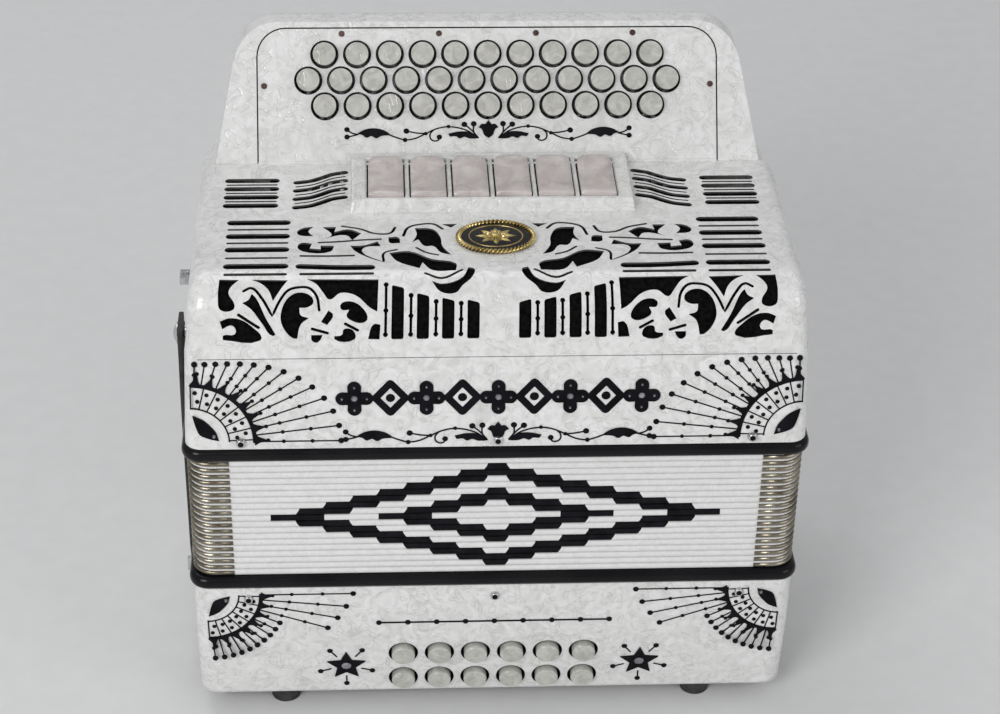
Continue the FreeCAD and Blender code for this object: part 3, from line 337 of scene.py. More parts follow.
def soften(node, width=0.4 * MM, finish=None, segments=2):
    """A copy of a CAD node with its coplanar faces joined and its edges rounded, standing for the node."""
    source = frame["nodes"][node]
    mesh = bmesh.new()
    mesh.from_mesh(source.data)
    bmesh.ops.remove_doubles(mesh, verts=mesh.verts, dist=0.001 * MM)
    bmesh.ops.dissolve_limit(mesh, angle_limit=radians(0.4), verts=mesh.verts, edges=mesh.edges)
    slot = slot_of(node)
    made = piece(f"{node}_skin", mesh, finish or SLOT_FINISH[slot], source["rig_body"])
    if width:
        bevel(made, width, segments)
    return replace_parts(made, node)


def bridge(mesh, rows, ring=True, loop=False):
    """Faces between neighbouring rows of vertices. The rows are rings that close on themselves, unless ring
    is false. A loop also joins the last row to the first."""
    for first, second in zip(rows, rows[1:] + rows[:1] if loop else rows[1:]):
        for index in range(len(first) if ring else len(first) - 1):
            after = (index + 1) % len(first)
            mesh.faces.new((first[index], first[after], second[after], second[index]))


def lathe(mesh, place, profile, sides=24, hollow=False):
    """Turns a profile of (radius, height) millimetres about the local z of a placing matrix. A hollow one
    is a closed section that leaves its middle open."""
    rings = []
    for radius, height in [(radius * MM, height * MM) for radius, height in profile]:
        if radius < 1e-9:
            rings.append([mesh.verts.new(place @ Vector((0, 0, height)))])
            continue
        ring = []
        for step in range(sides):
            angle = tau * step / sides
            ring.append(mesh.verts.new(place @ Vector((radius * cos(angle), radius * sin(angle), height))))
        rings.append(ring)
    for first, second in zip(rings, rings[1:] + rings[:1] if hollow else rings[1:]):
        for step in range(sides):
            corners = [
                first[step % len(first)],
                first[(step + 1) % len(first)],
                second[(step + 1) % len(second)],
                second[step % len(second)],
            ]
            unique = list(dict.fromkeys(corners))
            if len(unique) > 2:
                mesh.faces.new(unique)
    for ring in () if hollow else (rings[0], rings[-1]):
        if len(ring) > 2:
            mesh.faces.new(ring)


def arc(middle, radius, start, end, steps=8):
    """Points on an arc, angles in degrees."""
    points = []
    for step in range(steps + 1):
        angle = radians(start + (end - start) * step / steps)
        points.append((middle[0] + radius * cos(angle), middle[1] + radius * sin(angle)))
    return points


def curve(points, closed=True, corner=55, steps=6):
    """A smooth line through points; it keeps a corner where the turn is sharper than corner degrees."""
    count = len(points)
    spots = [Vector(point) for point in points]
    slopes = []
    for index, spot in enumerate(spots):
        if not closed and index in (0, count - 1):
            slopes.append(None)
            continue
        before = spot - spots[index - 1]
        after = spots[(index + 1) % count] - spot
        turn = degrees(before.angle(after)) if before.length and after.length else 180
        slopes.append(None if turn > corner else (before.normalized() + after.normalized()).normalized())
    line = []
    for index in range(count if closed else count - 1):
        here, there = spots[index], spots[(index + 1) % count]
        reach = (there - here).length
        leave = slopes[index] or (there - here).normalized()
        arrive = slopes[(index + 1) % count] or (there - here).normalized()
        for step in range(steps):
            t = step / steps
            line.append(
                here * (2 * t**3 - 3 * t**2 + 1)
                + leave * reach * (t**3 - 2 * t**2 + t)
                + there * (3 * t**2 - 2 * t**3)
                + arrive * reach * (t**3 - t**2)
            )
    if not closed:
        line.append(spots[-1])
    return line


def widened(path, half):
    """The closed outline of a line of even width; half may be a list, one value to a point."""
    halves = half if isinstance(half, list) else [half] * len(path)
    left, right = [], []
    for index, spot in enumerate(path):
        ahead = Vector(path[min(index + 1, len(path) - 1)]) - Vector(path[max(index - 1, 0)])
        side = Vector((-ahead.y, ahead.x)).normalized() * halves[index]
        left.append(Vector(spot) + side)
        right.append(Vector(spot) - side)
    return left + right[::-1]


# ---------------------------------------------------------------- raised ornament

class Ornament:
    """Thin raised shapes on one flat wall, drawn in millimetres: x to the right, y up the wall."""

    def __init__(self, name, body, corner, up, scale=(1, 1)):
        across = Vector((1, 0, 0))
        upward = Vector(up).normalized()
        out = across.cross(upward)
        self.place = Matrix((across, upward, out)).transposed().to_4x4()
        self.place.translation = Vector(corner)
        self.place = self.place @ Matrix.Diagonal((*scale, 1, 1))
        self.name = name
        self.body = body
        self.black = bmesh.new()
        self.stones = bmesh.new()

    def at(self, x, y, out=0.0):
        """A place on the wall, out from its surface."""
        return self.place @ Vector((x * MM, y * MM, out * MM))

    def plate(self, points, rise=0.7):
        """A flat shape with a rounded top edge."""
        low_ring = [self.black.verts.new(self.at(x, y, -0.3)) for x, y in points]
        high_ring = [self.black.verts.new(self.at(x, y, rise)) for x, y in points]
        bridge(self.black, [low_ring, high_ring])
        self.black.faces.new(high_ring)
        self.black.faces.new(low_ring[::-1])

    def line(self, path, half=0.6, rise=0.7, taper=False):
        """A raised line with a round back."""
        count = len(path)
        rows = []
        for index, spot in enumerate(path):
            ahead = Vector(path[min(index + 1, count - 1)]) - Vector(path[max(index - 1, 0)])
            side = Vector((-ahead.y, ahead.x)).normalized()
            reach = half * (1 - 0.75 * index / (count - 1)) if taper else half
            row = []
            for across, up in ((-1, -0.4), (-0.8, 0.6), (0, 1), (0.8, 0.6), (1, -0.4)):
                spot_on = Vector(spot) + side * across * reach
                row.append(self.black.verts.new(self.at(spot_on.x, spot_on.y, up * rise)))
            rows.append(row)
        bridge(self.black, rows)
        self.black.faces.new(rows[0][::-1])
        self.black.faces.new(rows[-1])

    def dot(self, x, y, radius, rise=None):
        """A small dome."""
        rise = rise or radius * 0.7
        place = self.place @ Matrix.Translation((x * MM, y * MM, 0))
        profile = [(radius * cos(radians(a)), rise * sin(radians(a))) for a in (0, 30, 60)]
        lathe(self.black, place, [(radius, -0.3), *profile, (0, rise)], 12)

    def stone(self, x, y, radius, ring=True):
        """A cut stone in a black cup."""
        place = self.place @ Matrix.Translation((x * MM, y * MM, 0))
        if ring:
            outer = radius + 0.6
            cup = [(outer, -0.3), (outer, 0.6), (radius, 1.0), (radius, -0.3)]
            lathe(self.black, place, cup, 16, hollow=True)
        lathe(self.stones, place, [(radius, 0.1), (radius, 0.7), (radius * 0.55, 1.4), (0, 1.4)], 8)

    def done(self):
        """Makes the ornament's pieces."""
        made = piece(f"{self.name}_trim", self.black, INK, self.body, 40)
        if self.stones.verts:
            stones = piece(f"{self.name}_stones", self.stones, STONE, self.body, 10)
            stones.data.shade_flat()
        return made


def mirrored(points, side, rise=0):
    """Points for the right half drawn on either side of the middle, and raised."""
    return [(x * side, rise + height) for x, height in points]


def sunburst(ornament, x, y, side, rise, scale, reach_at):
    """A quarter sun in a case corner. side is its half of the case, rise is 1 for rays that go up and -1
    for rays that go down, and reach_at gives the length of the ray at an angle from the level."""
    def spot(radius, angle):
        """A place on the sun, from its middle."""
        return (x - side * radius * cos(radians(angle)), y + rise * radius * sin(radians(angle)))

    inner, outer = 18.5 * scale, 31 * scale
    for index in range(8):
        angle = 2 + 12.4 * index
        ornament.line([spot(inner, angle), spot(outer, angle)], 0.38, 0.4)
    for index in range(7):
        angle = 8 + 12.4 * index
        ornament.dot(*spot(inner + 4 * scale, angle - 2), 1.15)
        ornament.dot(*spot(outer - 4 * scale, angle + 2), 1.15)
    ornament.line([spot(inner, angle) for angle in range(0, 91, 5)], 0.45, 0.4)
    ornament.line([spot(outer, angle) for angle in range(-1, 92, 3)], 1.2)
    for index in range(8):
        angle = 2 + 11.8 * index
        tip = spot(outer + 6.5 * scale, angle - 1)
        ornament.plate([spot(outer, angle - 5.5), spot(outer + 2.4 * scale, angle - 2.6), tip,
                        spot(outer + 2.4 * scale, angle + 2.2), spot(outer, angle + 5.5)])
        ornament.dot(*tip, 1.1)
    for index in range(14):
        angle = 6.6 * index
        reach = reach_at(angle)
        ornament.line([spot(outer, angle), spot(reach, angle)], 0.4, 0.45)
        ornament.dot(*spot(reach, angle), 1.6)
        middles = (1 / 3, 2 / 3) if reach > 1.6 * outer else (1 / 2,) * (index % 2)
        for share in middles:
            ornament.dot(*spot(outer + (reach - outer) * share, angle), 1.1)
    almond = [spot(14.6 * scale, 86), spot(13.6 * scale, 62), spot(13 * scale, 44), spot(13.2 * scale, 24),
              spot(13.4 * scale, 3), spot(7.8 * scale, 18), spot(6 * scale, 44), spot(8.4 * scale, 72)]
    ornament.plate(curve(almond))
    ornament.stone(*spot(11.6 * scale, 16), 1.1, ring=False)


HEART = ((0, 3.6), (-2.2, 5.4), (-3.4, 8.4), (-5, 9.4), (-3.2, 11.2), (-1.6, 11), (0, 13.2), (1.6, 11),
         (3.2, 11.2), (5, 9.4), (3.4, 8.4), (2.2, 5.4))
VINE_LEAVES = (
    ((5, 3.4), (9, 6.6), (14.7, 7.2), (20.3, 6), (19.4, 4.4), (16.4, 4.6), (14.6, 3.5), (12.2, 4.3),
     (9.6, 3.4)),
    ((49, 5.4), (52.6, 8), (57.6, 9.2), (62.6, 8.4), (66.4, 6.2), (63.6, 5.6), (61.6, 4.2), (59, 5),
     (56.6, 3.8), (54.2, 5)),
)
VINE_STEMS = (
    ((5, 3.6), (7.4, 7), (7.4, 11.2)),
    ((5, 3.6), (8.6, 8), (12.1, 11)),
    ((5.4, 3.8), (11, 7.8), (20.1, 9.8), (26, 8.8), (31.6, 6.2), (37, 3.6), (42.1, 2.9), (46, 4),
     (50, 5.6)),
    ((31.6, 6.2), (36, 6.5), (41.4, 7.6)),
    ((27.6, 8.2), (29.4, 6), (29.2, 3.4), (27.4, 2.2), (25.4, 2.6), (24.8, 4.2)),
    ((65.6, 6), (68.4, 5.2), (71.3, 4.6)),
    ((66.4, 6), (69, 6.8), (71.3, 8.6)),
)
VINE_BERRIES = ((7.4, 11.3, 1.5), (12.1, 11, 1.5), (20.1, 9.9, 1.0), (31.6, 6.2, 1.0), (41.4, 7.6, 1.5),
                (42.1, 2.8, 1.2), (24.8, 4.3, 1.4), (71.3, 4.6, 1.4), (71.3, 8.6, 1.4))


def vine(ornament, y):
    """A flower with a pair of leafy, curling branches, all raised by y."""
    ornament.plate(curve(mirrored(HEART, 1, y)))
    for side in (-1, 1):
        for leaf in VINE_LEAVES:
            ornament.plate(curve(mirrored(leaf, side, y), corner=60))
        for stem in VINE_STEMS:
            ornament.line(curve(mirrored(stem, side, y), closed=False, corner=120), 0.42, 0.5)
        for x, height, radius in VINE_BERRIES:
            ornament.dot(side * x, y + height, radius)


def star(ornament, x, y):
    """A five-pointed star round a stone, with a dotted ray between each pair of points."""
    points = []
    for index in range(10):
        angle = radians(90 + 36 * index)
        radius = 5.2 if index % 2 else 11
        points.append((x + radius * cos(angle), y + radius * sin(angle)))
    ornament.plate(points)
    ornament.stone(x, y, 2.9)
    for index in range(5):
        angle = radians(54 + 72 * index)
        near, far, end = [(x + reach * cos(angle), y + reach * sin(angle)) for reach in (8.6, 14.4, 14.8)]
        ornament.line([near, far], 0.45, 0.5)
        ornament.dot(*end, 1.6)


def quatrefoil(ornament, x, y, size):
    """Four heavy petals round a stone."""
    points = []
    for index in range(16):
        angle = tau * index / 16
        swell = 1 if index % 4 == 0 else 0.86 if index % 2 else 0.5
        points.append((x + size * swell * cos(angle), y + size * swell * sin(angle)))
    ornament.plate(curve(points, corner=80, steps=4))
    ornament.stone(x, y, 1.9)
    for index in range(4):
        angle = tau * index / 4
        ornament.stone(x + size * 0.66 * cos(angle), y + size * 0.66 * sin(angle), 0.8, ring=False)


def lozenge(ornament, x, y, half, tall):
    """A heavy open lozenge round a dot."""
    ring = [(x - half, y), (x, y + tall), (x + half, y), (x, y - tall)]
    bars = ring + ring[:1]
    for start, end in zip(bars, bars[1:]):
        ornament.line([start, end], 2.1, 0.7)
    for corner_x, corner_y in ring:
        ornament.dot(corner_x, corner_y, 1.8, 0.9)
    ornament.dot(x, y, 2.4, 1.0)


def motif_band(ornament, y, reach, count):
    """A band of heavy lozenges and quatrefoils by turns, plain decoration across the front."""
    pitch = 2 * reach / (count - 1)
    for index in range(count):
        x = -reach + pitch * index
        if index % 2:
            lozenge(ornament, x, y, 7.6, 8.4)
        else:
            quatrefoil(ornament, x, y, 9.6)


def treble_ray(angle):
    """Length of a ray of the treble suns: longest when level."""
    return 44 + 32 * cos(radians(angle)) ** 2.2


def bass_ray(angle):
    """Length of a ray of the bass suns: a few long ones near the level, then short ones."""
    return 78 - angle / 2 if angle < 20 else 43


def treble_front():
    """Ornament on the front wall of the treble case."""
    foot = (0, WALL_FRONT, TREBLE_BOTTOM)
    up = (0, COVER_FRONT - WALL_FRONT, SEAM - TREBLE_BOTTOM)
    ornament = Ornament("treble_front", "treble_end", foot, up)
    for side in (-1, 1):
        sunburst(ornament, side * 156, 4.4, side, 1, 1.04, treble_ray)
    motif_band(ornament, 28.4, 73, 9)
    wall = hypot(SEAM - TREBLE_BOTTOM, COVER_FRONT - WALL_FRONT) / MM
    ornament.line([(-151, wall - 0.3), (151, wall - 0.3)], 0.16, 0.1)
    ornament.done()
    branches = Ornament("treble_vine", "treble_end", foot, up, (1.09, 1.08))
    vine(branches, 0)
    branches.done()


def bass_front():
    """Ornament on the upright upper part of the bass case's front wall."""
    ornament = Ornament("bass_front", "bass_end", (0, WALL_FRONT, BASS_TOP), (0, 0, 1))
    for side in (-1, 1):
        sunburst(ornament, side * 153.5, -4.4, side, -1, 0.94, bass_ray)
    ornament.line([(-62, -24.5), (62, -24.5)], 0.5)
    for index in range(9):
        ornament.dot(-62 + 124 * index / 8, -24.5, 1.6)
    ornament.done()


def bass_stars():
    """Ornament on the leaning lower part of the bass case's front wall."""
    up = (0, -sin(BASS_LEAN), cos(BASS_LEAN))
    ornament = Ornament("bass_lower", "bass_end", (0, WALL_FRONT, KINK), up)
    for side in (-1, 1):
        star(ornament, side * 80, (33 - KINK / MM) / cos(BASS_LEAN))
    ornament.done()


def board_front():
    """Ornament on the fingerboard below the buttons."""
    foot = (0, COVER_BACK, FLAT_TOP)
    ornament = Ornament("board", "treble_end", foot, (0, sin(BOARD_TILT), cos(BOARD_TILT)), (1.07, 1))
    vine(ornament, 9.4)
    ornament.done()


# ---------------------------------------------------------------- grille cover

FRONT_RUN = 21.4
ROUND_RUN = 29.2
ROUND_RADIUS = 20.0
FULL_RUN = 161.2
EDGE_RADIUS = 8.0
COVER_TAPER = 0.019
SKIN = 1.0
CLOTH_DEPTH = 1.5


def profile_at(v):
    """Place (Y, Z) and outward direction on the cover's middle line, v millimetres from its front seam."""
    lean = radians(6.6)
    foot = Vector((COVER_FRONT / MM, SEAM / MM))
    if v <= FRONT_RUN:
        return foot + Vector((sin(lean), cos(lean))) * v, Vector((-cos(lean), sin(lean)))
    top = FLAT_TOP / MM
    middle = Vector((-69.67, top - ROUND_RADIUS))
    if v <= FRONT_RUN + ROUND_RUN:
        share = (v - FRONT_RUN) / ROUND_RUN
        angle = lean + (pi / 2 - lean) * share
        out = Vector((-cos(angle), sin(angle)))
        return middle + out * ROUND_RADIUS, out
    return Vector((-69.67 + v - FRONT_RUN - ROUND_RUN, top)), Vector((0, 1))


def on_cover(x, v, depth=0.0):
    """A point of the cover's skin in metres."""
    spot, out = profile_at(v)
    spot = spot - out * depth
    return Vector((x, spot.x, max(spot.y, SEAM / MM))) * MM


def capsule(path, half):
    """The closed outline of a line with round ends."""
    line = [Vector(point) for point in path]
    body = widened(line, half)
    count = len(line)
    start, end = line[0], line[-1]
    toward = line[-1] - line[-2]
    behind = line[0] - line[1]
    tip = [end + Vector((half * cos(a), half * sin(a))) for a in
           (atan2(toward.y, toward.x) + radians(turn) for turn in (60, 30, 0, -30, -60))]
    tail = [start + Vector((half * cos(a), half * sin(a))) for a in
            (atan2(behind.y, behind.x) + radians(turn) for turn in (60, 30, 0, -30, -60))]
    return body[:count] + tip + body[count:] + tail


def disc(x, v, radius):
    """A round hole."""
    return [Vector(point) for point in arc((x, v), radius, 0, 360, 14)[:-1]]


def leaf_holes():
    """Leaf and petal shaped holes in the left half of the grille."""
    leaves = [
        [(-141.7, 42.8), (-131.7, 42.5), (-135.8, 38.2), (-136.7, 35.2), (-133.4, 29.5), (-133.8, 27),
         (-140.4, 26.8), (-141.9, 32.5)],
        [(-125.6, 42.5), (-107.1, 42), (-110.4, 37.2), (-114.2, 31), (-116.6, 36.5), (-120.5, 40.2)],
        [(-97.4, 42.5), (-61.2, 42), (-61.6, 25.2), (-65, 27), (-72.7, 33.5), (-80.4, 34.8),
         (-85.8, 31.5), (-88.9, 34.8), (-92.8, 39.8)],
        [(-125, 34.8), (-122.7, 32.5), (-117.4, 22.2), (-112.3, 13.2), (-113.8, 12.5), (-119, 19),
         (-125, 27), (-129.6, 30.2), (-126.5, 31.8)],
        [(-101.9, 35.2), (-95, 33.2), (-93.9, 30), (-96.6, 27.8), (-100.8, 27.5), (-100.1, 23.8),
         (-95.9, 22.2), (-99.8, 18.8), (-101.5, 10.8), (-103.8, 11.2), (-109.1, 18), (-110.1, 24),
         (-107.3, 31.8)],
        [(-140.5, 20.8), (-135.9, 22.5), (-129.7, 21.5), (-123.7, 17.2), (-119.3, 11.8), (-120.1, 10),
         (-138.6, 10.5), (-138.5, 13), (-133.1, 13.5), (-132.2, 15.5), (-134.5, 18.5), (-139.1, 16.5)],
        [(-86.2, 26), (-83.8, 23.8), (-86.7, 18.2), (-89.8, 20)],
        [(-80, 29.2), (-75, 30.5), (-68.9, 27), (-66.5, 21.2), (-69, 19.2), (-74.4, 20.5), (-77, 23),
         (-75.8, 26.2), (-79.7, 26.5)],
        [(-94.5, 12.8), (-88.8, 12.8), (-90, 9.8), (-91.9, 8.5), (-94.2, 9.8)],
        [(-83, 12), (-79.1, 12.8), (-78.3, 15.8), (-74.4, 15.8), (-72.2, 12), (-73, 10), (-82.6, 10.2)],
        [(-63.2, 18.5), (-59.9, 18.2), (-60.2, 10), (-66, 10.2)],
        [(-103.6, 87), (-100.6, 91.2), (-94.9, 92.5), (-97.6, 87.8), (-95, 82.8), (-102, 83.8)],
        [(-103, 72), (-100.9, 76.2), (-95.5, 75.2), (-96.6, 70.5), (-90.9, 69.5), (-91, 73.2),
         (-84, 72.8), (-85.9, 67), (-99.7, 67.2)],
        [(-90.3, 92), (-83.3, 92), (-84, 87), (-76.6, 89.5), (-69.9, 85.2), (-74.7, 78.5),
         (-78.1, 83.5), (-89.5, 80.2), (-85.5, 83.5)],
        [(-75.8, 72.8), (-69.7, 72.8), (-61.6, 76.8), (-59.9, 72.2), (-68.1, 71), (-69.6, 67),
         (-57.3, 55.5), (-64.6, 59.5), (-72.9, 67)],
        [(-55.7, 65.2), (-45.2, 66.8), (-33.8, 58.8), (-21.6, 54.5), (-21.7, 47.8), (-33.8, 48.2),
         (-38.6, 55.5), (-40.3, 49.8), (-51.6, 57)],
        [(-42, 90.2), (-32.9, 89.2), (-28.8, 80.8), (-28, 71.8), (-23.6, 62.8), (-28.9, 65.2),
         (-32.9, 71.8), (-37, 71.8), (-40.3, 78.5), (-43.6, 76), (-41.1, 83.5)],
        [(-34.2, 40.8), (-29, 39.2), (-18.5, 43), (-15.2, 50.5), (-12.2, 49), (-13.7, 43),
         (-18.6, 38.2), (-21.8, 34.5), (-29.8, 35)],
        [(-27.9, 94.2), (-19.6, 94.2), (-22.9, 90.5)],
        [(-55.9, 81), (-51, 81), (-49.7, 75.2), (-55, 75.2)],
    ]
    return [curve(leaf, corner=84, steps=4) for leaf in leaves]


def stem_holes():
    """Thin curving slots in the left half of the grille."""
    stems = [
        ([(-129.2, 36.2), (-125.4, 37.8), (-120.4, 33.2), (-114.3, 23.5), (-110.4, 31.8), (-106.6, 36.5),
          (-101.2, 38), (-96.2, 37.5), (-92.3, 33.2), (-90.8, 26.2)], 0.7),
        ([(-131.2, 24.2), (-121, 17.2)], 0.8),
        ([(-94.1, 16.2), (-86.4, 13.8)], 0.8),
        ([(-77.5, 18.8), (-71.3, 15.2)], 0.8),
        ([(-80, 92.8), (-70, 89.5), (-63.4, 85.2), (-55.1, 85.2), (-52.3, 91)], 0.8),
        ([(-91.9, 76.2), (-81.3, 77), (-69.8, 78.5), (-60, 79.2)], 0.8),
        ([(-48.1, 82.5), (-45.3, 91), (-38.6, 94.2), (-32, 94.2), (-27.5, 89.2)], 0.8),
        ([(-37.4, 45.8), (-29, 42.5), (-18.5, 48.2)], 0.7),
        ([(-41.5, 70.2), (-36.2, 65.2), (-30.5, 62.8)], 0.7),
        ([(-58.5, 57.2), (-58.2, 65.2), (-51.7, 68.5)], 0.7),
        ([(-101.2, 52.6), (-80, 51.2), (-65.2, 51.2)], 2.4),
        ([(-100.6, 46), (-64.3, 46)], 0.9),
        ([(-101, 63), (-86, 62.6), (-74, 63)], 0.9),
    ]
    return [capsule(curve(path, closed=False, corner=120, steps=5), half) for path, half in stems]


def window_holes():
    """The row of upright windows over the front edge, with a knobbed line between each pair."""
    holes = []
    for index in range(4):
        x = -51.3 + 12.75 * index
        top = (38, 33.6, 31.2, 30.1)[index]
        holes.append(eased([(x - 3.1, 10), (x + 3.1, 10), (x + 3.1, top - 0.8), (x - 3.1, top + 0.8)], 1.2))
    for index in range(4):
        x = -57.3 + 12.65 * index
        top = (39.4, 33.6, 30.4, 29.4)[index]
        holes.append(capsule([(x, 11.8), (x, top)], 0.7))
        for v in (12.6, (12 + top) / 2, top - 0.4):
            holes.append(disc(x, v, 1.3))
    return holes


def bar_holes():
    """The bars at either end of the grille: straight by the sides, swept beside the register ridge."""
    holes = []
    for v in (97, 83, 69.5, 53):
        holes.append(capsule([(-138, v), (-109.5, v)], 2.5))
    for v in (90, 76.2, 61.2, 46):
        holes.append(capsule([(-139, v), (-108.5, v)], 0.9))
    for index in range(4):
        v = 142 - 9 * index
        holes.append(capsule([(-141.4, v), (-116.4, v)], 2.3))
        sweep = [(-105, v - 2.4), (-97, v - 0.5), (-91, v + 3), (-86, v + 6.4), (-79, v + 8.6)]
        holes.append(capsule(curve(sweep, closed=False, corner=120, steps=5), 1.9))
        if index < 3:
            holes.append(capsule([(-142, v - 4.5), (-115.8, v - 4.5)], 0.75))
            thin = [(x, height - 4.5) for x, height in sweep]
            holes.append(capsule(curve(thin, closed=False, corner=120, steps=5), 0.6))
    return holes


def grille_holes():
    """Every hole of the grille, both halves."""
    left = leaf_holes() + stem_holes() + window_holes() + bar_holes()
    right = [[Vector((-point.x, point.y)) for point in hole][::-1] for hole in left]
    return left + right


def inside(point, hole):
    """True if a point is inside a closed outline."""
    crossings = False
    for index, here in enumerate(hole):
        there = hole[index - 1]
        if (here.y > point.y) != (there.y > point.y):
            cut_x = here.x + (point.y - here.y) / (there.y - here.y) * (there.x - here.x)
            crossings ^= point.x < cut_x
    return crossings


def stations():
    """Distances from the seam at which the cover's skin is divided."""
    curved = [FRONT_RUN + ROUND_RUN * step / 12 for step in range(13)]
    flat = [curved[-1] + (FULL_RUN - curved[-1]) * step / 10 for step in range(1, 11)]
    return [0, FRONT_RUN / 2] + curved + flat


def pierced_sheet(half, holes):
    """Corner points and triangles of the cover's flat development, without the holes."""
    levels = stations()
    points = []
    edges = []
    for v in levels:
        points += [Vector((-half, v)), Vector((half, v))]
        edges.append((len(points) - 2, len(points) - 1))
    for index in range(len(levels) - 1):
        edges.append((2 * index, 2 * index + 2))
        edges.append((2 * index + 1, 2 * index + 3))
    for hole in holes:
        start = len(points)
        points += hole
        count = len(hole)
        edges += [(start + index, start + (index + 1) % count) for index in range(count)]
    spots, _, faces, *_ = delaunay_2d_cdt(points, edges, [], 0, 1e-5)
    bounds = [
        (min(p.x for p in hole), max(p.x for p in hole), min(p.y for p in hole), max(p.y for p in hole))
        for hole in holes
    ]
    kept = []
    for face in faces:
        middle = sum((spots[index] for index in face), Vector((0, 0))) / len(face)
        hidden = any(
            left < middle.x < right and near < middle.y < far and inside(middle, hole)
            for hole, (left, right, near, far) in zip(holes, bounds)
        )
        if not hidden:
            kept.append(face)
    return spots, kept


def grille_cover():
    """The pierced pearl cover, bent over the front edge and rounded down to the seam at either side."""
    mesh = bmesh.new()
    half = HALF_WIDTH / MM - EDGE_RADIUS
    spots, faces = pierced_sheet(half, grille_holes())
    verts = [mesh.verts.new(on_cover(spot.x, spot.y)) for spot in spots]
    for face in faces:
        mesh.faces.new([verts[index] for index in face])
    levels = stations()
    for side in (-1, 1):
        rows = []
        for v in levels:
            row = []
            for step in range(7):
                angle = pi / 2 * step / 6
                inward = EDGE_RADIUS * (1 - cos(angle))
                x = side * (half + EDGE_RADIUS * sin(angle))
                row.append(mesh.verts.new(on_cover(x, v, inward)))
            rows.append(row)
        foot_row = []
        back_of_curve = on_cover(0, 0, EDGE_RADIUS).y
        for row in rows:
            end = row[-1].co
            foot_row.append(mesh.verts.new((end.x, max(end.y, back_of_curve), SEAM)))
        bridge(mesh, rows, ring=False)
        for index in range(len(rows) - 1):
            corners = (rows[index][-1], foot_row[index], foot_row[index + 1], rows[index + 1][-1])
            if (foot_row[index].co - foot_row[index + 1].co).length > 1e-6 or index:
                mesh.faces.new(corners)
        end_foot = mesh.verts.new((rows[-1][0].co.x, foot_row[-1].co.y, SEAM))
        mesh.faces.new((*rows[-1], foot_row[-1], end_foot))
    bmesh.ops.remove_doubles(mesh, verts=mesh.verts, dist=0.01 * MM)
    loose = [vert for vert in mesh.verts if not vert.link_faces]
    bmesh.ops.delete(mesh, geom=loose, context="VERTS")
    for vert in mesh.verts:
        vert.co.x *= 1 - COVER_TAPER * (vert.co.z - SEAM) / (FLAT_TOP - SEAM)
    made = piece("grille_skin", mesh, [PEARL, HOLE_EDGE_SHADE], "treble_end", 40)
    skin = made.modifiers.new("skin", "SOLIDIFY")
    skin.thickness = SKIN * MM
    skin.offset = -1
    # The rims of the holes take the dark edge finish: painted shade inside the holes.
    skin.material_offset_rim = 1
    settle(made)
    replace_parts(made, "grille_cover")


def grille_cloth():
    """Black cloth stretched a little way under the grille."""
    mesh = bmesh.new()
    rows = []
    for v in [2 + (FULL_RUN - 30) * step / 48 for step in range(49)]:
        row = []
        for step in range(61):
            x = -146 + 292 * step / 60
            sag = 0.2 * sin(x * 0.21) * sin(v * 0.17)
            row.append(mesh.verts.new(on_cover(x, v, CLOTH_DEPTH + sag)))
        rows.append(row)
    bridge(mesh, rows, ring=False)
    made = piece("grille_cloth_sheet", mesh, CLOTH, "treble_end")
    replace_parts(made, "grille_cloth")


def window_frame(mesh, foot, outer, inner, bottom, top):
    """A four-sided frame from three rectangles (left, right, front, back) in millimetres."""
    def corners(rectangle, z):
        """The corners of one rectangle at a height."""
        left, right, near, far = rectangle
        return [mesh.verts.new((x * MM, y * MM, z)) for x, y in
                ((left, near), (right, near), (right, far), (left, far))]

    rings = [corners(foot, bottom), corners(outer, top), corners(inner, top), corners(inner, bottom)]
    bridge(mesh, rings, loop=True)


def block(mesh, rectangle, bottom, top):
    """A solid block on a rectangle (left, right, front, back) in millimetres."""
    left, right, near, far = (edge * MM for edge in rectangle)
    middle = Vector(((left + right) / 2, (near + far) / 2, (bottom + top) / 2))
    extent = Matrix.Diagonal((right - left, far - near, top - bottom, 1))
    bmesh.ops.create_cube(mesh, size=1, matrix=Matrix.Translation(middle) @ extent)


TAB_PLAY = 0.6
WINDOW_FRONT = -7.8
WINDOW_BACK = 34.5


def register_ridge():
    """The raised ridge round the register tabs, with a window for each tab."""
    mesh = bmesh.new()
    back = COVER_BACK / MM
    reach = high("register_tab_6").x / MM + TAB_PLAY
    foot = (-75, 75, WINDOW_FRONT - 6.4, back)
    window = (-reach, reach, WINDOW_FRONT, WINDOW_BACK)
    window_frame(mesh, foot, (-73.6, 73.6, WINDOW_FRONT - 2.8, back), window, FLAT_TOP - 1 * MM, RIDGE_TOP)
    made = piece("register_ridge", mesh, PEARL, "treble_end")
    bevel(made, 1.3 * MM, 4, 20)
    bars = bmesh.new()
    for index in range(5):
        left = high(f"register_tab_{index + 1}").x / MM + TAB_PLAY
        right = low(f"register_tab_{index + 2}").x / MM - TAB_PLAY
        block(bars, (left, right, WINDOW_FRONT - 0.5, WINDOW_BACK + 0.5),
              FLAT_TOP - 1 * MM, RIDGE_TOP - 0.2 * MM)
    bevel(piece("register_bars", bars, PEARL, "treble_end"), 0.7 * MM, 3)
    # A black block under the tab windows: painted shade, seen in the gaps round the tabs and the bars.
    gap_shade_block = bmesh.new()
    block(gap_shade_block, (-reach - 0.5, reach + 0.5, WINDOW_FRONT - 0.5, WINDOW_BACK + 0.5),
          FLAT_TOP - 1.2 * MM, FLAT_TOP + 0.4 * MM)
    piece("register_gap_shade", gap_shade_block, INK, "treble_end")


# ---------------------------------------------------------------- bellows


DIAMONDS = (117.6, 61.5)
DIAMOND_STEP = 13.96
DIAMOND_SLANT = 1.2
FOLD_PITCH = (BELLOWS_HIGH - BELLOWS_LOW) / FOLDS
FOLD_RADIUS = 11.0
CAP_REACH = 21.5
VALLEY_DEPTH = 15.0
GAP_SHARE = 0.045


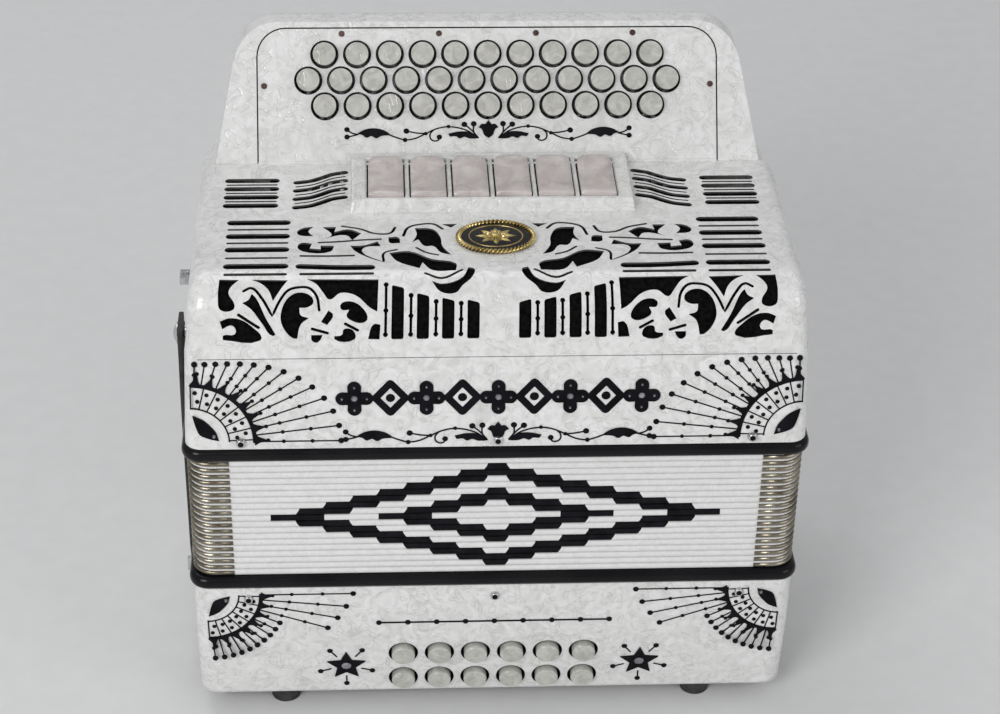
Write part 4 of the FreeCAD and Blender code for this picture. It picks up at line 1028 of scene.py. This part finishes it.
def rounded_path(half_x, half_y, radius, steps=6):
    """Places round a fold from the back left corner; each is (x, y, outward x, outward y)."""
    path = []
    for corner_x, corner_y, start in ((-1, -1, 180), (1, -1, 270), (1, 1, 0), (-1, 1, 90)):
        middle = (corner_x * (half_x - radius), corner_y * (half_y - radius))
        for step in range(steps + 1):
            angle = radians(start + 90 * step / steps)
            out_x, out_y = cos(angle), sin(angle)
            path.append((middle[0] + radius * out_x, middle[1] + radius * out_y, out_x, out_y))
    return path


def diamond_stops(row):
    """Where one fold's front crosses the diamonds, as (x at its lower edge, x at its upper edge)."""
    slant = DIAMOND_SLANT * ((row > 0) - (row < 0))
    half = []
    for tip in DIAMONDS:
        start = tip - DIAMOND_STEP * abs(row)
        for x in (start, start - 2 * DIAMOND_STEP):
            half.append((max(x + slant, 0), max(x - slant, 0)))
    left = [(-below, -above) for below, above in half]
    return left + half[::-1]


def carry(made):
    """Bakes the placing of a bellows piece into its mesh."""
    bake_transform(made)


def sweep(mesh, places, profile, z_low, closed=True):
    """Sweeps a profile of (out, share of the pitch) round places, each (x below, x above, y, out x, out y,
    finish)."""
    columns = []
    for x_below, x_above, y, out_x, out_y, _ in places:
        column = []
        for out, share in profile:
            x = x_below + (x_above - x_below) * share + out * out_x
            column.append(mesh.verts.new((x * MM, (y + out * out_y) * MM, z_low + share * FOLD_PITCH)))
        columns.append(column)
    count = len(columns) if closed else len(columns) - 1
    for index in range(count):
        first, second = columns[index], columns[(index + 1) % len(columns)]
        if (first[0].co - second[0].co).length < 1e-7 and (first[-1].co - second[-1].co).length < 1e-7:
            continue
        for step in range(len(profile) - 1):
            face = mesh.faces.new((first[step], second[step], second[step + 1], first[step + 1]))
            face.material_index = places[index][5]
    bmesh.ops.remove_doubles(mesh, verts=mesh.verts, dist=0.001 * MM)


def bellows_fold(index):
    """One folded edge of the bellows, with the stepped diamonds let into its front."""
    half_x = high("bellows_folds").x / MM - 0.5
    half_y = high("bellows_folds").y / MM - 0.5
    path = rounded_path(half_x, half_y, FOLD_RADIUS)
    places = [(x, x, y, out_x, out_y, 0) for x, y, out_x, out_y in path]
    front = len(path) // 4
    stops = diamond_stops(index - (FOLDS - 1) // 2)
    finishes = (1, 0, 1, 0, 1, 0, 1, 0)
    places[front:front] = [(below, above, -half_y, 0, -1, finish)
                           for (below, above), finish in zip(stops, finishes)]
    edge = GAP_SHARE
    profile = [(-2.2, edge + 0.02), (-0.9, edge), (-0.3, edge + 0.05), (0, edge + 0.16), (0.1, 0.5),
               (0, 0.84 - edge), (-0.3, 0.95 - edge), (-0.9, 1 - edge), (-2.2, 0.98 - edge)]
    mesh = bmesh.new()
    z_low = BELLOWS_LOW + index * FOLD_PITCH
    sweep(mesh, places, profile, z_low)
    made = piece(f"bellows_fold_{index:02d}", mesh, [CARD, BELLOWS_BLACK], None, 50)
    carry(made)
    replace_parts(made, "bellows_folds")


def bellows_caps(index):
    """The four metal corner caps of one fold."""
    half_x = high("bellows_corners").x / MM - 0.45
    half_y = high("bellows_corners").y / MM - 0.45
    path = rounded_path(half_x, half_y, FOLD_RADIUS + 0.3, 8)
    each = len(path) // 4
    profile = [(-2.6, 0.22), (-1.3, 0.12), (-0.4, 0.18), (0.2, 0.34), (0.38, 0.5), (0.2, 0.66),
               (-0.4, 0.82), (-1.3, 0.88), (-2.6, 0.78)]
    mesh = bmesh.new()
    z_low = BELLOWS_LOW + index * FOLD_PITCH
    for corner in range(4):
        bend = path[corner * each:(corner + 1) * each]
        straight = CAP_REACH - FOLD_RADIUS
        start_x, start_y, out_x, out_y = bend[0]
        start = (start_x + straight * out_y, start_y - straight * out_x, out_x, out_y)
        end_x, end_y, out_x, out_y = bend[-1]
        end = (end_x - straight * out_y, end_y + straight * out_x, out_x, out_y)
        places = [(x, x, y, out_x, out_y, 0) for x, y, out_x, out_y in [start, *bend, end]]
        sweep(mesh, places, profile, z_low, closed=False)
    made = piece(f"bellows_caps_{index:02d}", mesh, NICKEL, None, 60)
    skin = made.modifiers.new("skin", "SOLIDIFY")
    skin.thickness = 0.3 * MM
    carry(made)
    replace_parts(made, "bellows_corners")


def bellows_valley(index):
    """The walls that run in from one folded edge to the valley and out to the next."""
    half_x = high("bellows_folds").x / MM - 0.5
    half_y = high("bellows_folds").y / MM - 0.5
    z_low = BELLOWS_LOW + (index - 0.5) * FOLD_PITCH
    edge = GAP_SHARE
    profile = [(-2.0, 0.5 - edge), (-VALLEY_DEPTH * 0.5, 0.5 - edge / 2), (-VALLEY_DEPTH, 0.5),
               (-VALLEY_DEPTH * 0.5, 0.5 + edge / 2), (-2.0, 0.5 + edge)]
    least, most = 0.5 - edge, 0.5 + edge
    if index == 0:
        profile, least = profile[2:], 0.5
    if index == FOLDS:
        profile, most = profile[:3], 0.5
    mesh = bmesh.new()
    path = rounded_path(half_x, half_y, FOLD_RADIUS + 5)
    each = len(path) // 4
    places = [(*place[:1], *place, int(number % each != each - 1)) for number, place in enumerate(path)]
    sweep(mesh, places, profile, z_low)
    made = piece(f"bellows_valley_{index:02d}", mesh, [VALLEY, BELLOWS_BLACK], None, 60)
    carry(made)
    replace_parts(made, "bellows_folds")


def bellows():
    """All folds, their corner caps and the valleys between them."""
    for index in range(FOLDS):
        bellows_fold(index)
        bellows_caps(index)
    for index in range(FOLDS + 1):
        bellows_valley(index)


# ---------------------------------------------------------------- buttons, tabs and badge

BOARD_OUT = Vector((0, -cos(BOARD_TILT), sin(BOARD_TILT)))
BOARD_UP = Vector((0, sin(BOARD_TILT), cos(BOARD_TILT)))
BOARD_FOOT = Vector((0, COVER_BACK, FLAT_TOP))
KEY_ROWS = ((30.6, 11), (44.5, 12), (58.4, 11))
KEY_PITCH = (low("treble_keys_02").x - low("treble_keys_01").x) / MM
BASS_ROWS = (22.6, 42.3)
BASS_PITCH = (low("bass_button_02").x - low("bass_button_01").x) / MM


def on_plane(foot, up, x, along):
    """A placing matrix on a plane through foot that rises along up: z points out of it."""
    across = Vector((1, 0, 0))
    place = Matrix((across, up, across.cross(up))).transposed().to_4x4()
    place.translation = foot + across * x * MM + up * along * MM
    return place


def two_tone(made, material, test):
    """Gives the faces that pass a test a second finish."""
    made.data.materials.append(material)
    for face in made.data.polygons:
        if test(face.center):
            face.material_index = 1


def treble_gap_shade_rings():
    """Black rings round the holes that the treble buttons stand in: painted shade of the gap round each
    button.
    """
    mesh = bmesh.new()
    for along, count in KEY_ROWS:
        for index in range(count):
            place = on_plane(BOARD_FOOT, BOARD_UP, KEY_PITCH * (index - (count - 1) / 2), along)
            section = [(7.31, -0.4), (7.31, 0.12), (7.42, 0.16), (7.62, 0.03), (7.62, -0.4)]
            lathe(mesh, place, section, 32, hollow=True)
    piece("treble_gap_shade_ring_mesh", mesh, BLACK, "treble_end")


def fingerboard_plate():
    """The plate of the treble buttons, with the walls of its holes in black: painted shade inside the
    holes.
    """
    made = soften("fingerboard_plate", 0.2 * MM)
    # Faces inside the button holes turn black: painted shade round the treble buttons.
    two_tone(made, BLACK, lambda spot: -2.7 < (spot - BOARD_FOOT).dot(BOARD_OUT) / MM < -0.3)


def bass_well_shade():
    """Black walls in the wells that the bass buttons stand in: painted shade inside the wells."""
    mesh = bmesh.new()
    up = Vector((0, -sin(BASS_LEAN), cos(BASS_LEAN)))
    foot = Vector((0, WALL_FRONT, KINK))
    section = [(7.5, -7.5), (7.5, -0.6), (7.8, 0.05), (8.02, 0.05), (8.02, -7.5)]
    for height in BASS_ROWS:
        along = (height - KINK / MM) / cos(BASS_LEAN)
        for index in range(6):
            place = on_plane(foot, up, BASS_PITCH * (index - 2.5), along)
            lathe(mesh, place, section, 32, hollow=True)
    piece("bass_well_painted_shade", mesh, INK, "bass_end")


def treble_buttons():
    """The treble keys: steel levers that carry pearl buttons."""
    for index in range(12):
        made = soften(f"treble_keys_{index + 1:02d}", 0.7 * MM, STEEL, 3)
        two_tone(made, BUTTON_PEARL, lambda spot: (spot - BOARD_FOOT).dot(BOARD_OUT) > -1.5 * MM
                 and (spot - BOARD_FOOT).dot(BOARD_UP) > 10 * MM)


def bass_buttons():
    """The bass keys: pearl buttons on plungers."""
    for index in range(12):
        soften(f"bass_button_{index + 1:02d}", 0.9 * MM, BUTTON_PEARL, 3)


def tab_height(share):
    """Top of a tab over its window's edge, in millimetres, from its front (0) to its back (1)."""
    return 1.4 + 0.5 * cos(pi * share * 1.2) + 4.6 * max(share - 0.35, 0) ** 1.4


TAB_CORNER = 6.5
TAB_SECTION = ((-1, 3.2), (-1, 1.0), (-0.985, 0.4), (-0.95, 0.05), (-0.6, 0), (0, -0.1), (0.6, 0),
               (0.95, 0.05), (0.985, 0.4), (1, 1.0), (1, 3.2))


def register_tabs():
    """The six register tabs: pearl paddles that curl up towards the fingerboard."""
    for index in range(6):
        node = f"register_tab_{index + 1}"
        corner_low, corner_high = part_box(node)
        middle = (corner_low.x + corner_high.x) / 2
        half = (corner_high.x - corner_low.x) / 2
        length = corner_high.y - corner_low.y
        mesh = bmesh.new()
        rows = []
        stops = [(0.0, 1.0), (0.3, 0.35), (0.9, 0)] + [(3 * step, 0) for step in range(1, 13)]
        rounding = ((2.6, 0.04), (1.4, 0.1), (0.5, 0.5), (0, 1.4))
        stops += [(length / MM - back, drop) for back, drop in rounding]
        for along, drop in stops:
            share = along * MM / length
            top = RIDGE_TOP + (tab_height(share) - drop) * MM
            past_round = min(max(along - (length / MM - TAB_CORNER), 0), TAB_CORNER - 0.1)
            reach = half - (TAB_CORNER - (TAB_CORNER**2 - past_round**2) ** 0.5) * MM
            row = []
            for across, sink in TAB_SECTION:
                spot = (middle + reach * across, corner_low.y + along * MM, top - sink * MM)
                row.append(mesh.verts.new(spot))
            rows.append(row)
        bridge(mesh, rows)
        mesh.faces.new(rows[0])
        mesh.faces.new(rows[-1][::-1])
        body = frame["nodes"][node]["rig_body"]
        made = piece(f"{node}_paddle", mesh, TAB_PEARL, body, 50)
        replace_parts(made, node)


def medallion():
    """An oval badge: a twisted gilt rim, black enamel and a plain gilt rosette."""
    centre = (low("medallion") + high("medallion")) / 2
    extent = high("medallion") - low("medallion")
    outer = (high("medallion").x - centre.x) / MM
    foot = Vector((centre.x, centre.y, FLAT_TOP))
    place = Matrix.Translation(foot) @ Matrix.Diagonal((1, extent.y / extent.x, 1, 1))
    ground = bmesh.new()
    section = [(outer - 1.5, -0.3), (outer - 1.5, 1.4), (outer - 4, 1.5), (outer - 9, 1.9), (0, 2.0)]
    lathe(ground, place, section, 64)
    made = piece("medallion_ground", ground, ENAMEL, "treble_end")
    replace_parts(made, "medallion")
    gilt = bmesh.new()
    turns, strand = 56, 0.85
    for start in (0, pi):
        rows = []
        steps = turns * 8
        for step in range(steps):
            around = tau * step / steps
            twist = start + tau * turns / 2 * step / steps
            radius = outer - 1.8 + strand * 0.8 * cos(twist)
            middle = Vector((radius * cos(around), radius * sin(around), 1.5 + strand * 0.8 * sin(twist)))
            out = Vector((cos(around), sin(around), 0))
            row = []
            for turn in (tau * k / 6 for k in range(6)):
                spot = middle + (out * cos(turn) + Vector((0, 0, sin(turn)))) * strand
                row.append(gilt.verts.new(place @ (spot * MM)))
            rows.append(row)
        bridge(gilt, rows, loop=True)
    for ring, petals, length in ((0, 8, 11.0), (1, 8, 7.5)):
        for index in range(petals):
            turn = place @ Matrix.Rotation(tau * (index + ring * 0.5) / petals, 4, "Z")
            belly, swell = length * 0.55, length * 0.17
            shape = curve([(2, 0), (belly, swell), (length, 0), (belly, -swell)])
            top = 2.6 + ring * 0.4
            edge = [gilt.verts.new(turn @ Vector((x * MM, y * MM, 1.8 * MM))) for x, y in shape]
            half = length / 2
            crest = [gilt.verts.new(turn @ Vector(((half + (x - half) / 2) * MM, y * 0.3 * MM, top * MM)))
                     for x, y in shape]
            bridge(gilt, [edge, crest])
            gilt.faces.new(crest)
    lathe(gilt, place, [(2.6, 1.8), (2.4, 3.0), (1.4, 3.4), (0, 3.4)], 24)
    lathe(gilt, place, [(13.2, 1.5), (13.5, 2.1), (14, 2.1), (14.3, 1.4)], 64, hollow=True)
    piece("medallion_gilt", gilt, BRASS, "treble_end", 50)


def screw_recess_shade():
    """Flat dark discs on the heads of the case screws, front and back: painted shade standing for the screw
    recesses.
    """
    section = [(1.5, -0.4), (1.5, 0.08), (0.9, 0.02), (0, 0.02)]
    for node, body in (("bellows_screws_bass", "bass_end"), ("bellows_screws_treble", "treble_end")):
        mesh = bmesh.new()
        corner_low, corner_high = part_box(node)
        reach = corner_high.x / MM - 2.7
        height = (corner_low.z + corner_high.z) / 2
        for depth, turn in ((corner_low.y, 0), (-corner_high.y, pi)):
            for x in (-reach, 0, reach):
                place = on_plane(Vector((0, depth, height)), Vector((0, 0, 1)), x, 0)
                lathe(mesh, Matrix.Rotation(turn, 4, "Z") @ place, section, 16)
        piece(f"{node}_recess_shade_discs", mesh, INK, body)


def joint_strip():
    """A narrow pearl bead that closes the joint between the cover and the fingerboard plate."""
    mesh = bmesh.new()
    back = COVER_BACK / MM
    reach = high("fingerboard_plate").x / MM
    block(mesh, (-reach, reach, back - 0.8, back + 1.6), FLAT_TOP - 1 * MM, FLAT_TOP + 1.1 * MM)
    bevel(piece("joint_strip", mesh, PEARL, "treble_end"), 0.6 * MM, 3)


PLATE_LENGTH = 72.5
PLATE_CORNER = 15.5


def plate_seam():
    """A thin dark line in the joint round the fingerboard plate."""
    ornament = Ornament("plate_seam", "treble_end", BOARD_FOOT, BOARD_UP)
    half = high("fingerboard_plate").x / MM + 0.15
    top = PLATE_LENGTH + 0.15
    round_left = arc((-half + PLATE_CORNER, top - PLATE_CORNER), PLATE_CORNER, 180, 90)
    round_right = arc((half - PLATE_CORNER, top - PLATE_CORNER), PLATE_CORNER, 90, 0)
    ornament.line([(-half, 0), *round_left, *round_right, (half, 0)], 0.4, 0.12)
    ornament.done()


# ---------------------------------------------------------------- straps

def band(name, path, side, width, thickness, finish, body):
    """A strap of even width along a path; side is the direction of its width."""
    mesh = bmesh.new()
    spots = [Vector(point) for point in path]
    side = Vector(side)
    rows = []
    section = [(-0.5, -0.2), (-0.485, -0.45), (-0.46, -0.5), (0.46, -0.5), (0.485, -0.45), (0.5, -0.2),
               (0.5, 0.2), (0.485, 0.45), (0.46, 0.5), (0, 0.56), (-0.46, 0.5), (-0.485, 0.45), (-0.5, 0.2)]
    for index, spot in enumerate(spots):
        ahead = spots[min(index + 1, len(spots) - 1)] - spots[max(index - 1, 0)]
        out = ahead.cross(side).normalized()
        row = [spot + side * across * width + out * up * thickness for across, up in section]
        rows.append([mesh.verts.new(corner) for corner in row])
    bridge(mesh, rows)
    mesh.faces.new(rows[0])
    mesh.faces.new(rows[-1][::-1])
    return piece(name, mesh, finish, body, 50)


def stitching(name, path, side, width, thickness, body):
    """Thread stitches along both edges of a strap."""
    mesh = bmesh.new()
    spots = [Vector(point) for point in path]
    side = Vector(side)
    for edge in (-1, 1):
        for first, second in list(zip(spots, spots[1:]))[1:-1]:
            ahead = second - first
            out = ahead.cross(side).normalized()
            middle = (first + second) / 2 + side * edge * (width / 2 - 2.2 * MM) + out * thickness / 2
            along = ahead.normalized()
            rows = []
            for step in range(7):
                reach = cos(pi * step / 6)
                swell = max(sin(pi * step / 6), 0.05)
                spot = middle + along * reach * ahead.length * 0.36
                rows.append([mesh.verts.new(spot + (side * cos(a) + out * sin(a)) * 0.32 * MM * swell)
                             for a in (tau * k / 6 for k in range(6))])
            bridge(mesh, rows)
    return piece(name, mesh, THREAD, body, 60)


def even_path(points, spacing):
    """A smooth line through points in one upright plane, divided evenly; points are (a, b)."""
    line = curve(points, closed=False, corner=170, steps=24)
    total = sum((b - a).length for a, b in zip(line, line[1:]))
    count = max(2, round(total / spacing))
    result, walked, target = [line[0]], 0.0, total / count
    for here, there in zip(line, line[1:]):
        step = (there - here).length
        while walked + step >= target - 1e-9 and len(result) <= count:
            result.append(here + (there - here) * ((target - walked) / step))
            target += total / count
        walked += step
    return result


def bellows_straps():
    """The two leather straps that hold the bellows shut, each with its snap."""
    for name, sign in (("left", -1), ("right", 1)):
        node = f"bellows_strap_{name}"
        corner_low, corner_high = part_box(node)
        middle_y = (corner_low.y + corner_high.y) / 2
        width = corner_high.y - corner_low.y
        outer = max(abs(corner_low.x), abs(corner_high.x)) / MM
        spots = even_path([(outer - 3.8, 58.5), (outer - 3.5, 68), (outer - 3.4, 96), (outer - 3.3, 134),
                           (outer - 3.4, 172), (outer - 3.7, 200), (outer - 3.7, 211)], 4)
        path = [(sign * spot.x * MM, middle_y, spot.y * MM) for spot in spots]
        side = (0, sign, 0)
        made = band(f"{node}_leather", path, side, width, 2.6 * MM, LEATHER, f"strap_{name}")
        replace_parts(made, node)
        stitching(f"{node}_thread", path, side, width, 2.8 * MM, f"strap_{name}")
        cap = bmesh.new()
        turn = Matrix.Rotation(sign * pi / 2, 4, "Y")
        place = Matrix.Translation((sign * (outer - 2.6) * MM, middle_y, 204 * MM)) @ turn
        section = [(6, 0), (6, 0.8), (5.2, 1.3), (4.4, 1.5), (3.8, 2.1), (2.2, 2.7), (0, 2.9)]
        lathe(cap, place, section, 32)
        piece(f"{node}_snap", cap, CHROME, f"strap_{name}")


def hand_strap():
    """The padded leather strap under the bass end."""
    corner_low, corner_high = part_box("hand_strap")
    middle_y = (corner_low.y + corner_high.y) / 2
    width = corner_high.y - corner_low.y
    reach = corner_high.x / MM
    spots = even_path([(-reach + 1, 11.2), (-reach * 0.86, 8.2), (-reach * 0.45, 5.4), (0, 5.0),
                       (reach * 0.45, 5.4), (reach * 0.86, 8.2), (reach - 1, 11.2)], 5)
    path = [(spot.x * MM, middle_y, spot.y * MM) for spot in spots]
    made = band("hand_strap_leather", path, (0, -1, 0), width, 3.2 * MM, LEATHER, "bass_end")
    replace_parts(made, "hand_strap")
    stitching("hand_strap_thread", path, (0, -1, 0), width, 3.4 * MM, "bass_end")


# ---------------------------------------------------------------- studio

CAMERA_PLACE = (-58.9 * MM, -1113.1 * MM, 890.1 * MM)
CAMERA_PITCH = 32.82
CAMERA_YAW = 3.33
CAMERA_ROLL = 1.17
FOCAL_SHARE = 2.419


def camera():
    """The camera, looking down on the front of the accordion."""
    data = bpy.data.cameras.new("view")
    made = bpy.data.objects.new("view", data)
    bpy.context.scene.collection.objects.link(made)
    data.sensor_width = 36
    data.lens = FOCAL_SHARE * data.sensor_width
    yaw, pitch = radians(CAMERA_YAW), radians(CAMERA_PITCH)
    turn = Matrix.Rotation(-yaw, 4, "Z") @ Matrix.Rotation(pi / 2 - pitch, 4, "X")
    turn = turn @ Matrix.Rotation(radians(CAMERA_ROLL), 4, "Z")
    made.matrix_world = Matrix.Translation(CAMERA_PLACE) @ turn
    bpy.context.scene.camera = made


def light(name, place, aim, size, power, colour=(1, 1, 1)):
    """A soft square light."""
    data = bpy.data.lights.new(name, "AREA")
    data.size = size
    data.energy = power
    data.color = colour
    made = bpy.data.objects.new(name, data)
    bpy.context.scene.collection.objects.link(made)
    direction = Vector(aim) - Vector(place)
    made.matrix_world = Matrix.Translation(place) @ direction.to_track_quat("-Z", "Y").to_matrix().to_4x4()
    return made


def studio():
    """Pale floor, soft lights and a light grey world."""
    mesh = bmesh.new()
    bmesh.ops.create_grid(mesh, x_segments=8, y_segments=8, size=6)
    data = bpy.data.meshes.new("floor")
    mesh.to_mesh(data)
    mesh.free()
    floor = bpy.data.objects.new("floor", data)
    bpy.context.scene.collection.objects.link(floor)
    data.materials.append(finish("floor_paper", (0.72, 0.72, 0.72), (0.74, 0.74, 0.74), (0.75, 0.85), 400))
    middle = (0, 0, 0.15)
    lights = [
        light("key", (-1.4, -2.2, 1.6), middle, 1.2, 39),
        light("fill", (1.9, -1.7, 1.1), middle, 1.5, 12),
        light("top", (-0.5, 0.9, 2.3), middle, 1.6, 11),
    ]
    world = bpy.data.worlds.new("studio")
    world.use_nodes = True
    world.node_tree.nodes["Background"].inputs["Color"].default_value = (0.9, 0.91, 0.93, 1)
    world.node_tree.nodes["Background"].inputs["Strength"].default_value = 0.45
    bpy.context.scene.world = world
    bpy.context.scene.view_settings.view_transform = "Standard"


# ---------------------------------------------------------------- everything

SOFTENED = {
    "bass_case": 0.5,
    "bass_end_plate": 0.6,
    "feet": 0.8,
    "strap_anchors": 0.6,
    "bass_soundboard": 0.5,
    "bass_reed_blocks": 0.5,
    "bellows_frame_bass": 0.5,
    "bellows_screws_bass": 0.5,
    "bass_button_guide": 0.5,
    "bellows_frame_treble": 0.5,
    "bellows_screws_treble": 0.5,
    "treble_case": 0.6,
    "treble_soundboard": 0.5,
    "treble_reed_blocks": 0.5,
    "register_rail": 0.3,
    "fingerboard_body": 1.2,
    "fingerboard_screws": 0.3,
    "key_axle": 0.3,
    "shoulder_strap_lugs": 0.9,
    "bellows_strap_studs": 0.5,
    "air_button": 0.8,
}

SPECIAL_FINISH = {"fingerboard_screws": SCREW_BROWN}

for cad_node, rounding in SOFTENED.items():
    soften(cad_node, rounding * MM, SPECIAL_FINISH.get(cad_node))
grille_cover()
grille_cloth()
register_ridge()
bellows()
fingerboard_plate()
treble_gap_shade_rings()
treble_buttons()
bass_well_shade()
bass_buttons()
register_tabs()
medallion()
plate_seam()
screw_recess_shade()
joint_strip()
bellows_straps()
hand_strap()
treble_front()
bass_front()
bass_stars()
board_front()
camera()
studio()
